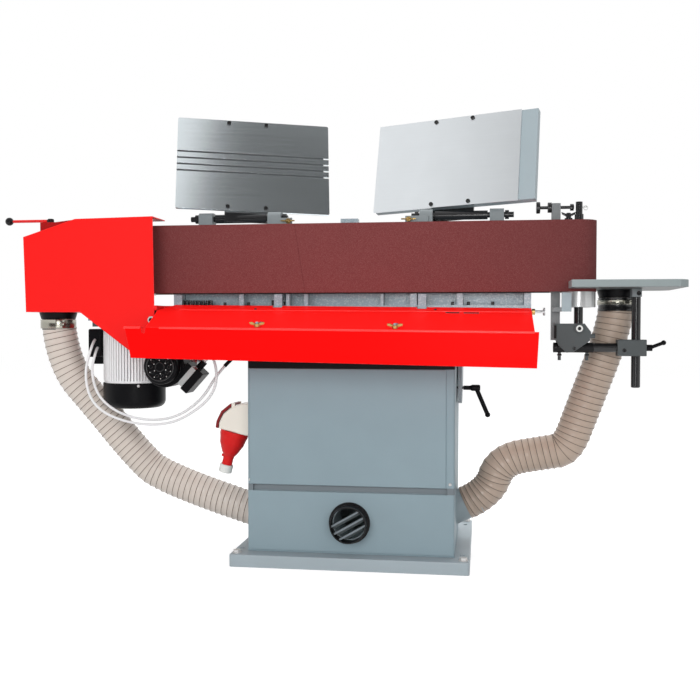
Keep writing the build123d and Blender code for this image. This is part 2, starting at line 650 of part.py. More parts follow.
def yoke_bar():
    bar = block(YOKE_LEFT, YOKE_RIGHT, IDLER_Y - 13, IDLER_Y + 13, 645, YOKE_TOP)
    flange = block(FRAME_RIGHT, FRAME_RIGHT + 12, -175, -128, 800, 950)
    tongue = block(FRAME_RIGHT + 10, YOKE_LEFT + 2, IDLER_Y - 13, IDLER_Y + 13, 830, 925)
    strip = block(566, 586, -206, IDLER_Y - 11, 725, 737)
    guide = joined(block(584, 615, -206, -202, 725, 737), block(589, 615, -206, -202, 725, 778))
    bar = joined(bar, flange, tongue, strip, guide)
    return bar - rod((YOKE_LEFT - 1, IDLER_Y, TRACK_Z), (YOKE_RIGHT + 1, IDLER_Y, TRACK_Z), 4.58)


def yoke_cheeks():
    outline = [(572, 692), (655, 692), (673, 668), (669, 643), (627, 613), (606, 610), (584, 630), (572, 660)]
    front = slab_y(outline, IDLER_Y - 26, IDLER_Y - 13)
    rear = slab_y(outline, IDLER_Y + 13, IDLER_Y + 24)
    sleeve = pipe((571, IDLER_Y, BAR_Z), (682, IDLER_Y, BAR_Z), 14.2, BAR_RADIUS + 0.03)
    pivot = rod((IDLER_X, IDLER_Y - 33, PIVOT_Z), (IDLER_X, IDLER_Y + 27, PIVOT_Z), 6)
    head = rod((IDLER_X, IDLER_Y - 34, PIVOT_Z), (IDLER_X, IDLER_Y - 26, PIVOT_Z), 12)
    nub = rod((667, IDLER_Y - 20, 657), (684, IDLER_Y - 20, 657), 6)
    screws = [rod((x, IDLER_Y, 588), (x, IDLER_Y, 612), 4.5) for x in (588, 664)]
    cheeks = joined(front, rear, sleeve, pivot, head, nub, *screws)
    return cheeks - rod((571, IDLER_Y, BAR_Z), (683, IDLER_Y, BAR_Z), BAR_RADIUS + 0.03)


# Drive unit


def motor_plate():
    x0, x1 = -775, -560
    plate = block(x0, x1, DRIVE_Y - 92, DRIVE_Y + 92, MOTOR_TOP, RAIL_BOTTOM - 0.4)
    parts = [plate]
    for outer, inner, hook in ((-205, -198.4, -186), (-71, -77.6, -90)):
        parts.append(block(x0, x1, *sorted((outer, inner)), RAIL_BOTTOM - 1, RAIL_TOP + 7))
        parts.append(block(x0, x1, *sorted((outer, hook)), RAIL_TOP + 0.4, RAIL_TOP + 7))
    parts.append(block(x0, x0 + 12, -142, -116, RAIL_BOTTOM - 1, 744))
    parts.append(block(LEVER_X - 11, x0 + 6, LEVER_Y - 22, LEVER_Y + 4, 736, 744))
    plate = joined(*parts)
    plate -= block(LEVER_X - 6.6, LEVER_X + 6.6, LEVER_Y - 15, LEVER_Y + 5, 730, 750)
    return plate - rod((DRIVE_X, DRIVE_Y, 600), (DRIVE_X, DRIVE_Y, 780), 30)


def motor_body():
    inner = 80.0
    shell = rod((DRIVE_X, DRIVE_Y, MOTOR_BOTTOM), (DRIVE_X, DRIVE_Y, MOTOR_TOP), inner)
    parts = [shell]
    count = 64
    for index in range(count):
        turn = Pos(DRIVE_X, DRIVE_Y, 0) * Rot(0, 0, 360 * index / count)
        parts.append(turn * block(inner - 3, MOTOR_RADIUS, -2.8, 2.8, MOTOR_BOTTOM + 6, 664))
    parts.append(rod((DRIVE_X, DRIVE_Y, 662), (DRIVE_X, DRIVE_Y, MOTOR_TOP), MOTOR_RADIUS))
    parts.append(rod((DRIVE_X, DRIVE_Y, MOTOR_BOTTOM), (DRIVE_X, DRIVE_Y, MOTOR_BOTTOM + 8), 89))
    body = joined(*parts)
    body -= rod((DRIVE_X, DRIVE_Y, MOTOR_BOTTOM + 14), (DRIVE_X, DRIVE_Y, MOTOR_TOP - 16), 62)
    body -= rod((DRIVE_X, DRIVE_Y, MOTOR_TOP - 20), (DRIVE_X, DRIVE_Y, MOTOR_TOP + 1), 19.06)
    return body - rod((DRIVE_X, DRIVE_Y, MOTOR_BOTTOM - 1), (DRIVE_X, DRIVE_Y, MOTOR_BOTTOM + 20), 14.06)


def motor_fan_cover():
    cover = rod((DRIVE_X, DRIVE_Y, FAN_BOTTOM), (DRIVE_X, DRIVE_Y, MOTOR_BOTTOM), 93)
    cover = fillet(cover.faces().sort_by(Axis.Z)[0].edges(), 22)
    hollow = rod((DRIVE_X, DRIVE_Y, FAN_BOTTOM + 3), (DRIVE_X, DRIVE_Y, MOTOR_BOTTOM + 1), 90)
    cover -= fillet(hollow.faces().sort_by(Axis.Z)[0].edges(), 19)
    for radius, count in ((24, 8), (42, 14), (60, 20)):
        for index in range(count):
            angle = 2 * math.pi * index / count
            x, y = DRIVE_X + radius * math.cos(angle), DRIVE_Y + radius * math.sin(angle)
            cover -= rod((x, y, FAN_BOTTOM - 1), (x, y, FAN_BOTTOM + 4), 4.5)
    return cover


def motor_terminal_box():
    box = block(-811, -771, -166, -88, 590, 675)
    box = fillet(box.edges(), 5)
    gland = block(-803, -777, -140, -112, 568, 592)
    arm = block(-780, -758, -150, -100, 605, 660)
    barrel = rod((DRIVE_X, DRIVE_Y, 500), (DRIVE_X, DRIVE_Y, 700), MOTOR_RADIUS + 0.05)
    return joined(box, gland, arm) - barrel


def drive_drum():
    z0, z1 = BELT_BOTTOM - 3, BELT_TOP + 4
    drum = pipe((DRIVE_X, DRIVE_Y, z0), (DRIVE_X, DRIVE_Y, z1), DRIVE_RADIUS, DRIVE_RADIUS - 10)
    for z in (z0 + 16, z1 - 30):
        drum += rod((DRIVE_X, DRIVE_Y, z), (DRIVE_X, DRIVE_Y, z + 14), DRIVE_RADIUS - 5)
    drum += rod((DRIVE_X, DRIVE_Y, z0 + 16), (DRIVE_X, DRIVE_Y, z1 - 16), 32)
    return drum - rod((DRIVE_X, DRIVE_Y, z0 - 1), (DRIVE_X, DRIVE_Y, z1 + 1), 19.01)


def drive_shaft():
    shaft = rod((DRIVE_X, DRIVE_Y, MOTOR_BOTTOM + 20), (DRIVE_X, DRIVE_Y, BELT_TOP + 2), 19)
    tail = rod((DRIVE_X, DRIVE_Y, 462), (DRIVE_X, DRIVE_Y, MOTOR_BOTTOM + 22), 14)
    rotor = rod((DRIVE_X, DRIVE_Y, 540), (DRIVE_X, DRIVE_Y, 652), 52)
    hub = rod((DRIVE_X, DRIVE_Y, 466), (DRIVE_X, DRIVE_Y, 496), 26)
    parts = [shaft, tail, rotor, hub]
    for index in range(7):
        turn = Pos(DRIVE_X, DRIVE_Y, 0) * Rot(0, 0, 360 * index / 7)
        parts.append(turn * block(22, 74, -1.5, 1.5, 466, 494))
    return joined(*parts)


def tension_lever():
    shaft = rod((LEVER_X, LEVER_Y, 750), (LEVER_X, LEVER_Y, 1006), 8)
    disc = rod((LEVER_X, LEVER_Y, 747), (LEVER_X, LEVER_Y, 756.6), 14)
    pin = rod((LEVER_X, LEVER_Y - LEVER_PIN, 734), (LEVER_X, LEVER_Y - LEVER_PIN, 750), 4)
    hub = rod((LEVER_X, LEVER_Y, 1003), (LEVER_X, LEVER_Y, 1014.5), 10)
    hub = fillet(hub.faces().sort_by(Axis.Z)[-1].edges(), 4)
    arm = knobbed_rod((LEVER_X - 5, LEVER_Y, 1008), (-1086, LEVER_Y, 1008), 4.5, 12.5)
    return joined(shaft, disc, pin, hub, arm)


# Idler end


def idler_shaft():
    shaft = rod((IDLER_X, IDLER_Y, 660), (IDLER_X, IDLER_Y, 1000), 12.5)
    top = rod((IDLER_X, IDLER_Y, 998), (IDLER_X, IDLER_Y, 1035), 9.5)
    shaft = joined(shaft, top)
    return shaft - rod((IDLER_X, IDLER_Y - 20, PIVOT_Z), (IDLER_X, IDLER_Y + 20, PIVOT_Z), 6.06)


BEARING_ZS = (748.0, 962.0)


def idler_drum():
    z0, z1 = 738.0, 980.0
    drum = pipe((IDLER_X, IDLER_Y, z0), (IDLER_X, IDLER_Y, z1), IDLER_RADIUS, IDLER_RADIUS - 8)
    for z in BEARING_ZS:
        drum += pipe((IDLER_X, IDLER_Y, z - 3), (IDLER_X, IDLER_Y, z + 17), IDLER_RADIUS - 4, 26)
    return drum


def idler_bearings():
    return group([pipe((IDLER_X, IDLER_Y, z), (IDLER_X, IDLER_Y, z + 14), 25.95, 12.51) for z in BEARING_ZS])


def tracking_screw():
    knob = rod((521, IDLER_Y, TRACK_Z), (532, IDLER_Y, TRACK_Z), 16.5)
    knob = fillet(knob.edges().filter_by(GeomType.CIRCLE), 2)
    screw = rod((530, IDLER_Y, TRACK_Z), (626, IDLER_Y, TRACK_Z), 4.5)
    collar = rod((553, IDLER_Y, TRACK_Z), (563.6, IDLER_Y, TRACK_Z), 14.5)
    return joined(knob, screw, collar)


def table_bar():
    return rod((577, IDLER_Y, BAR_Z), (780, IDLER_Y, BAR_Z), BAR_RADIUS)


def clamp_block():
    body = block(746, 824, IDLER_Y - 22, IDLER_Y + 22, 601, 647)
    body = fillet(body.edges().filter_by(Axis.X), 3)
    body -= rod((745, IDLER_Y, BAR_Z), (780.4, IDLER_Y, BAR_Z), BAR_RADIUS + 0.02)
    body -= rod((POST_X, IDLER_Y, 600), (POST_X, IDLER_Y, 648), POST_RADIUS + 0.06)
    body -= rod((764, IDLER_Y - 23, 617), (764, IDLER_Y - 18, 617), 5)
    return body - rod((POST_X + 10, IDLER_Y, BAR_Z), (825, IDLER_Y, BAR_Z), 5.06)


def table_post():
    post = rod((POST_X, IDLER_Y, 512), (POST_X, IDLER_Y, 770), POST_RADIUS)
    bracket = block(784, 809, IDLER_Y - 24, IDLER_Y + 19, 767, TABLE_TOP - TABLE_THICK)
    return joined(chamfer(post.faces().sort_by(Axis.Z)[0].edges(), 2), bracket)


def end_table():
    cut = 24
    outline = [(TABLE_LEFT, TABLE_FRONT), (TABLE_RIGHT - cut, TABLE_FRONT), (TABLE_RIGHT, TABLE_FRONT + cut),
               (TABLE_RIGHT, TABLE_REAR - cut), (TABLE_RIGHT - cut, TABLE_REAR), (TABLE_LEFT, TABLE_REAR)]
    z0 = TABLE_TOP - TABLE_THICK
    table = slab_z(outline, z0, TABLE_TOP)
    table -= block(TABLE_LEFT - 1, IDLER_X, IDLER_Y - TABLE_CUT, IDLER_Y + TABLE_CUT, z0 - 1, TABLE_TOP + 1)
    table -= rod((IDLER_X, IDLER_Y, z0 - 1), (IDLER_X, IDLER_Y, TABLE_TOP + 1), TABLE_CUT)
    x, y = TABLE_PORT
    table -= block(x - 34, x - 10, y - 30, y + 34, z0 - 1, TABLE_TOP + 1)
    return chamfer(table.faces().sort_by(Axis.Z)[-1].outer_wire().edges(), 1.5)


def table_port():
    top = TABLE_TOP - TABLE_THICK
    return turned([(SPIGOT_BORE, 0), (56, 0), (55, -8), (50.6, -22), (SPIGOT_RADIUS, -22), (SPIGOT_RADIUS, -58),
                   (SPIGOT_BORE, -58)], (*TABLE_PORT, top), (1, 0, 0), (0, 0, 1))


def table_clamp_lever():
    hub = rod((824.4, IDLER_Y, BAR_Z), (842, IDLER_Y, BAR_Z), 9)
    screw = rod((POST_X + POST_RADIUS + 0.6, IDLER_Y, BAR_Z), (830, IDLER_Y, BAR_Z), 5)
    arm = knobbed_rod((836, IDLER_Y, BAR_Z), (873, IDLER_Y, BAR_Z + 14.5), 5, 7)
    return joined(hub, screw, arm)


# Hoses and cables


def left_route():
    point, way = spigot_way(-1)
    end = point + way * LEFT_HOSE_STANDOFF
    return [(*HOOD_PORT, 705), (*HOOD_PORT, 548), (-787, -76, 377), tuple(point + way * 322), tuple(end)]


def right_route():
    point, way = spigot_way(1)
    end = point + way * RIGHT_HOSE_STANDOFF
    return [(*TABLE_PORT, 767), (*TABLE_PORT, 700), (620, -44, 322), (425, -31, 285),
            tuple(end + way * 78), tuple(end)]


MOTOR_CABLE_ROUTE = [(-780, -168.2, 618), (-758, -228, 616), (-772, -238, 545), (-742, -238, 462),
                     (-650, -238, 412), (-528, -238, 408), (-434, -238, 466), (-386, -234, 548), (-334, -206, 606),
                     (-302, -160, 632), (-302, -160, FRAME_BOTTOM - 0.3)]
OSC_CABLE_ROUTE = [(-417, -262, 581.9), (-396, -261, 605), (-382, -256, 560), (-386, -254, 505), (-424, -254, 454),
                   (-522, -254, 396), (-654, -254, 400), (-757, -254, 446), (-786, -254, 540), (-764, -240, 636),
                   (-788, -168.2, 642)]


def route_wire(points):
    """Straight runs joined by tangent arcs, each arc taking 0.45 of the shorter run beside it."""
    vectors = [Vector(*point) for point in points]
    radii = []
    for before, corner, after in zip(vectors, vectors[1:], vectors[2:]):
        turn = math.radians((corner - before).get_angle(after - corner))
        shorter = min((corner - before).length, (after - corner).length)
        radii.append(0.45 * shorter / math.tan(turn / 2))
    return FilletPolyline(*points, radius=radii), radii


def ribbed_hose(points):
    """Hose with ribs along its route and a smooth bore."""
    wire, radii = route_wire(points)
    length = wire.length
    count = round(length / RIB_PITCH)
    steps = [0.0]
    sizes = [HOSE_VALLEY]
    for index in range(count):
        for share, radius in ((0.16, HOSE_VALLEY), (0.40, HOSE_RADIUS), (0.64, HOSE_RADIUS), (0.88, HOSE_VALLEY)):
            steps.append((index + share) / count)
            sizes.append(radius)
    steps.append(1.0)
    sizes.append(HOSE_VALLEY)

    def ring(step, radius):
        plane = Plane(origin=wire.position_at(step), x_dir=(0, 1, 0), z_dir=wire.tangent_at(step))
        side = Vector(0, 1, 0)
        way = plane.z_dir
        flat = (side - way * side.dot(way)).normalized()
        return Wire.make_circle(radius, Plane(origin=plane.origin, x_dir=flat, z_dir=way))

    outer = Solid.make_loft([ring(step, size) for step, size in zip(steps, sizes)], ruled=True)
    inner_steps = steps[::2] if len(steps) % 2 else steps[::2] + [1.0]
    bore = Solid.make_loft([ring(step, HOSE_BORE) for step in inner_steps], ruled=True)
    hose = outer - bore
    print(f"hose length {length:.0f} mm, {count} ribs, radii", [round(radius) for radius in radii])
    return hose


def cable(points):
    """Round cable along its route."""
    wire, radii = route_wire(points)
    start = Plane(origin=wire.position_at(0), z_dir=wire.tangent_at(0))
    print(f"cable length {wire.length:.0f} mm, radii", [round(radius) for radius in radii])
    return sweep(start * Circle(CABLE_RADIUS), path=wire)


NODES = {
    "base_plate": base_plate,
    "base_bolts": base_bolts,
    "column_cabinet": column_cabinet,
    "front_panel": front_panel,
    "extraction_port": extraction_port,
    "dust_manifold": dust_manifold,
    "inlet_housing": inlet_housing,
    "inlet_flap": inlet_flap,
    "power_connector": power_connector,
    "switch_box": switch_box,
    "start_button": lambda: button(525, 15, 6),
    "stop_button": lambda: button(457, 20, 12),
    "tilt_bearings": tilt_bearings,
    "tilt_clamp_lever": tilt_clamp_lever,
    "tilt_shaft": tilt_shaft,
    "tilt_saddles": tilt_saddles,
    "tilt_sector": tilt_sector,
    "head_frame": head_frame,
    "platen": platen,
    "graphite_pad": graphite_pad,
    "sanding_belt": sanding_belt,
    "hood_front": hood_front,
    "hood_rear": hood_rear,
    "hood_port": hood_port,
    "osc_motor": osc_motor,
    "osc_crank": osc_crank,
    "front_apron": front_apron,
    "apron_arms": apron_arms,
    "left_wing_nut": lambda: apron_wing_nut(0),
    "right_wing_nut": lambda: apron_wing_nut(1),
    "hinge_blocks": hinge_blocks,
    "plate_lock_screws": plate_lock_screws,
    "left_plate": left_plate,
    "left_bracket": lambda: plate_bracket(LEFT_PLATE, HINGE_BLOCKS[:2], PLATE_SHEET, (-76, 37), (-496, -200)),
    "right_plate": right_plate,
    "right_plate_carrier": right_plate_carrier,
    "right_bracket": lambda: plate_bracket(RIGHT_PLATE, HINGE_BLOCKS[2:], 27, (-38, 74), (166, 459)),
    "yoke_bar": yoke_bar,
    "yoke_cheeks": yoke_cheeks,
    "motor_plate": motor_plate,
    "motor_body": motor_body,
    "motor_fan_cover": motor_fan_cover,
    "motor_terminal_box": motor_terminal_box,
    "drive_drum": drive_drum,
    "drive_shaft": drive_shaft,
    "tension_lever": tension_lever,
    "idler_shaft": idler_shaft,
    "idler_drum": idler_drum,
    "idler_bearings": idler_bearings,
    "tracking_screw": tracking_screw,
    "table_bar": table_bar,
    "clamp_block": clamp_block,
    "table_post": table_post,
    "end_table": end_table,
    "table_port": table_port,
    "table_clamp_lever": table_clamp_lever,
    "left_hose": lambda: ribbed_hose(left_route()),
    "right_hose": lambda: ribbed_hose(right_route()),
    "motor_cable": lambda: cable(MOTOR_CABLE_ROUTE),
    "osc_cable": lambda: cable(OSC_CABLE_ROUTE),
}


def main():
    os.makedirs("parts", exist_ok=True)
    for name, make in NODES.items():
        shape = make()
        export_step(shape, f"parts/{name}.step")
        print(name, len(shape.solids()), f"{shape.volume:.0f}")
    middle = BELT_GAP + BELT_THICKNESS / 2
    _, straight = loop_face(middle, 0)
    print("belt length about", round(straight + math.pi * (DRIVE_RADIUS + IDLER_RADIUS + 2 * middle)), BELT_LENGTH)
    print("apron axis", [round(v, 5) for v in tuple(apron_point(0, 1, 0) - apron_point(0, 0, 0))])
    print("stud axis", [round(v, 5) for v in tuple(apron_point(0, 0, 1) - apron_point(0, 0, 0))])
    for x in APRON_STUDS:
        print("stud at", [round(v, 3) for v in tuple(apron_point(x, STUD_AT, 0))])


if __name__ == "__main__":
    main()
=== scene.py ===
"""Looks of a floor-standing edge sander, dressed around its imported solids.

Sizes are in millimetres and turn into metres where a mesh is made. X runs along the
sanding belt, Y away from the front and Z up, as in the solids.
"""
import logging
import math
from dataclasses import dataclass, field
from enum import Enum
from typing import Iterable, Mapping, Sequence

import bmesh
import bpy
from mathutils import Matrix, Vector


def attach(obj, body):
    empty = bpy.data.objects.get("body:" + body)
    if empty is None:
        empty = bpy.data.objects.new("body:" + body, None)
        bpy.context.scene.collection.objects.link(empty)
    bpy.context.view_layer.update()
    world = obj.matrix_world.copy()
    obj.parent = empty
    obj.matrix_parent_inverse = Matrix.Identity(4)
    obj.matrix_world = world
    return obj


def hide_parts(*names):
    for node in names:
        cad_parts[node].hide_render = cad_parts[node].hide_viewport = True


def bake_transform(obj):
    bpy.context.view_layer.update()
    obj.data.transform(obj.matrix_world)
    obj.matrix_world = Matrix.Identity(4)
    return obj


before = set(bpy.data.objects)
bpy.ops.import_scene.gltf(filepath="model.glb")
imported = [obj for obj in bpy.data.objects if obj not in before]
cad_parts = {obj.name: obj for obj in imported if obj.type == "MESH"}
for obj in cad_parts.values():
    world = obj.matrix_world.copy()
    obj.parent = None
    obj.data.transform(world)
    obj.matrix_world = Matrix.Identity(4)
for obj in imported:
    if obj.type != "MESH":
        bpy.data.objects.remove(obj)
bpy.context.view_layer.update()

Color = tuple[float, float, float]
Point = tuple[float, float, float]
Spot = tuple[float, float]
Span = tuple[Point, Point]
Profile = Sequence[Sequence[float]]
Socket = bpy.types.NodeSocket

MM = 0.001
TINY = 1e-6
QUARTER_TURN = 0.25
CREASE, SWEPT_CREASE, HOSE_CREASE = 38.0, 60.0, 80.0
WHITE = (1.0, 1.0, 1.0)
RIGHT, LEFT = (1, 0, 0), (-1, 0, 0)
BACK, FRONT = (0, 1, 0), (0, -1, 0)
UP, DOWN = (0, 0, 1), (0, 0, -1)
LOG = logging.getLogger("edge_sander")


def metres(point: Sequence[float]) -> Vector:
    """Turn a point in millimetres into a vector in metres."""
    return Vector(point) * MM


def rgba(color: Color) -> tuple[float, float, float, float]:
    """Add full opacity to a colour."""
    return (*color, 1.0)


def ring_angles(count: int, start: float = 0.0) -> list[float]:
    """Return angles that share a full turn evenly."""
    return [start + 2 * math.pi * step / count for step in range(count)]


def polar(radius: float, angle: float, height: float = 0.0) -> Vector:
    """Return the point at a distance and an angle from the z axis."""
    return Vector((radius * math.cos(angle), radius * math.sin(angle), height))


# Shader building


class Effect(Enum):
    """Surface effects that several materials share, each one a node group."""

    EDGE = "rounded_edge_wear"
    MOTTLE = "colour_mottle"
    PEEL = "paint_peel"
    BRUSH = "brushed_lines"
    SPECKS = "grain_specks"


class Kind(Enum):
    """Kinds of socket on a node group."""

    VALUE = "NodeSocketFloat"
    COLOR = "NodeSocketColor"
    VECTOR = "NodeSocketVector"


class Shader:
    """A node tree with short ways to add and join its nodes."""

    def __init__(self, tree: bpy.types.NodeTree) -> None:
        """Keep the tree that the nodes go into."""
        self.tree = tree

    @classmethod
    def fresh(cls, owner: bpy.types.Material | bpy.types.World) -> "Shader":
        """Empty the node tree of a material or a world.

        Args:
            owner: What the tree belongs to.

        Returns:
            The tree, ready to be filled.
        """
        owner.use_nodes = True
        owner.node_tree.nodes.clear()
        return cls(owner.node_tree)

    def add(self, kind: str, inputs: Mapping[int | str, object] | None = None,
            **settings: object) -> bpy.types.Node:
        """Add a node.

        Args:
            kind: The node's type name.
            inputs: Sockets to link or values to set, by the name or number of its input.
            settings: Properties to set on it.

        Returns:
            The new node.
        """
        node = self.tree.nodes.new(kind)
        for key, value in settings.items():
            setattr(node, key, value)
        for key, value in (inputs or {}).items():
            if isinstance(value, bpy.types.NodeSocket):
                self.tree.links.new(value, node.inputs[key])
            else:
                node.inputs[key].default_value = value
        return node

    def math(self, operation: str, first: object, second: object = 0.0, clamp: bool = False) -> Socket:
        """Join two sockets or numbers with a math node, kept between 0 and 1 where clamped."""
        return self.add("ShaderNodeMath", {0: first, 1: second}, operation=operation, use_clamp=clamp).outputs[0]

    def vector(self, operation: str, first: object, second: object) -> bpy.types.Node:
        """Join two vectors, and return the node for its outputs."""
        return self.add("ShaderNodeVectorMath", {0: first, 1: second}, operation=operation)

    def dot(self, first: object, second: object) -> Socket:
        """Return the dot product of two vectors."""
        return self.vector("DOT_PRODUCT", first, second).outputs["Value"]

    def place(self) -> Socket:
        """Return the surface's place in its own object, in metres."""
        return self.add("ShaderNodeTexCoord").outputs["Object"]

    def normal(self) -> Socket:
        """Return where the surface faces."""
        return self.add("ShaderNodeNewGeometry").outputs["Normal"]

    def noise(self, vector: Socket, scale: object, detail: float) -> Socket:
        """Return cloudy noise from 0 to 1, with a scale for each metre and a number of finer layers."""
        return self.add("ShaderNodeTexNoise", {"Vector": vector, "Scale": scale, "Detail": detail}).outputs[0]

    def mix(self, share: object, first: object, second: object) -> Socket:
        """Mix two colours by a share."""
        return self.add("ShaderNodeMix", {0: share, 6: first, 7: second}, data_type="RGBA").outputs[2]

    def blend(self, share: object, first: object, second: object) -> Socket:
        """Mix two values by a share."""
        return self.add("ShaderNodeMix", {0: share, 2: first, 3: second}, data_type="FLOAT").outputs[0]

    def tinted(self, color: object, tone: Socket) -> Socket:
        """Multiply a colour by a tone near 1."""
        return self.add("ShaderNodeVectorMath", {0: color, "Scale": tone}, operation="SCALE").outputs[0]


class EffectShop:
    """Builds each shared effect once, and places it in materials."""

    def __init__(self) -> None:
        """Build all the groups."""
        self._groups: dict[Effect, bpy.types.NodeTree] = {}
        self._build_edge()
        self._build_mottle()
        self._build_peel()
        self._build_brush()
        self._build_specks()

    def place(self, shader: Shader, effect: Effect, **inputs: object) -> bpy.types.Node:
        """Place a group in a material, with its values by socket name."""
        return shader.add("ShaderNodeGroup", inputs, node_tree=self._groups[effect])

    def _open(self, effect: Effect, inputs: dict[str, Kind],
              outputs: dict[str, Kind]) -> tuple[Shader, Mapping[str, Socket]]:
        """Start a group with named sockets.

        Args:
            effect: The group's effect.
            inputs: Names and kinds of the inputs.
            outputs: Names and kinds of the outputs.

        Returns:
            The group's nodes, and the sockets that bring its inputs in.
        """
        tree = bpy.data.node_groups.new(effect.value, "ShaderNodeTree")
        for way, sockets in (("INPUT", inputs), ("OUTPUT", outputs)):
            for name, kind in sockets.items():
                tree.interface.new_socket(name=name, in_out=way, socket_type=kind.value)
        self._groups[effect] = tree
        shader = Shader(tree)
        return shader, shader.add("NodeGroupInput").outputs

    def _build_edge(self) -> None:
        """Soften the edges, and mark where they are worn in patches."""
        edge_gain, patch_scale, patch_cut, patch_gain = 4.0, 60.0, 0.35, 2.5
        shader, given = self._open(Effect.EDGE, {"Radius": Kind.VALUE}, {"Wear": Kind.VALUE, "Normal": Kind.VECTOR})
        soft = shader.add("ShaderNodeBevel", {"Radius": given["Radius"]}, samples=4).outputs[0]
        turned = shader.math("SUBTRACT", 1.0, shader.dot(soft, shader.normal()))
        edge = shader.math("MULTIPLY", turned, edge_gain, clamp=True)
        patches = shader.math("SUBTRACT", shader.noise(shader.place(), patch_scale, 4.0), patch_cut)
        broken = shader.math("MULTIPLY", patches, patch_gain, clamp=True)
        shader.add("NodeGroupOutput", {"Wear": shader.math("MULTIPLY", edge, broken), "Normal": soft})

    def _build_mottle(self) -> None:
        """Vary a colour slowly over the surface."""
        shader, given = self._open(
            Effect.MOTTLE, {"Color": Kind.COLOR, "Scale": Kind.VALUE, "Amount": Kind.VALUE},
            {"Color": Kind.COLOR, "Tone": Kind.VALUE})
        cloud = shader.math("SUBTRACT", shader.noise(shader.place(), given["Scale"], 5.0), 0.5)
        tone = shader.math("ADD", shader.math("MULTIPLY", cloud, given["Amount"]), 1.0)
        shader.add("NodeGroupOutput", {"Color": shader.tinted(given["Color"], tone), "Tone": tone})

    def _build_peel(self) -> None:
        """Raise the fine dimples of sprayed paint or moulded plastic."""
        shader, given = self._open(Effect.PEEL, {"Scale": Kind.VALUE}, {"Height": Kind.VALUE})
        shader.add("NodeGroupOutput", {"Height": shader.noise(shader.place(), given["Scale"], 1.5)})

    def _build_brush(self) -> None:
        """Draw long fine lines, stretched by a vector."""
        broad_scale, broad_share = 0.12, 0.35
        shader, given = self._open(
            Effect.BRUSH, {"Stretch": Kind.VECTOR}, {"Height": Kind.VALUE, "Tone": Kind.VALUE})
        place = shader.vector("MULTIPLY", shader.place(), given["Stretch"]).outputs[0]
        fine = shader.noise(place, 1.0, 4.0)
        lines = shader.blend(broad_share, fine, shader.noise(place, broad_scale, 2.0))
        shader.add("NodeGroupOutput", {"Height": fine, "Tone": lines})

    def _build_specks(self) -> None:
        """Scatter specks of a second colour over the first: grain, and painted glints on the bearing."""
        shader, given = self._open(
            Effect.SPECKS,
            {"Color": Kind.COLOR, "Speck": Kind.COLOR, "Scale": Kind.VALUE, "Share": Kind.VALUE},
            {"Color": Kind.COLOR, "Height": Kind.VALUE})
        cells = shader.add("ShaderNodeTexVoronoi", {"Vector": shader.place(), "Scale": given["Scale"]})
        pick = shader.add("ShaderNodeSeparateColor", {0: cells.outputs["Color"]})
        lit = shader.math("LESS_THAN", pick.outputs[0], given["Share"])
        color = shader.mix(lit, given["Color"], given["Speck"])
        shader.add("NodeGroupOutput", {"Color": color, "Height": cells.outputs["Distance"]})


# Finishes


@dataclass
class Channels:
    """What a finish puts on a surface before it is joined to the shader."""

    color: Socket
    roughness: Socket
    metallic: float | Socket
    height: Socket
    depth: float


@dataclass(frozen=True)
class Region:
    """Half of space: places whose distance along an axis, in millimetres, passes a level."""

    axis: Point
    level: float

    def mask(self, shader: Shader) -> Socket:
        """Return 1 inside the region and 0 outside."""
        return shader.math("GREATER_THAN", shader.dot(shader.place(), self.axis), self.level * MM)


@dataclass(frozen=True)
class Core:
    """Round space about a line: places nearer to it, in millimetres, than a radius."""

    at: Point
    across: Point
    radius: float

    def mask(self, shader: Shader) -> Socket:
        """Measure how far the surface is from the line.

        Args:
            shader: The material's nodes.

        Returns:
            A socket with 1 inside the region and 0 outside.
        """
        away = shader.vector("SUBTRACT", shader.place(), tuple(metres(self.at))).outputs[0]
        flat = shader.vector("MULTIPLY", away, self.across).outputs[0]
        reach = shader.vector("LENGTH", flat, (0.0, 0.0, 0.0)).outputs["Value"]
        return shader.math("LESS_THAN", reach, self.radius * MM)


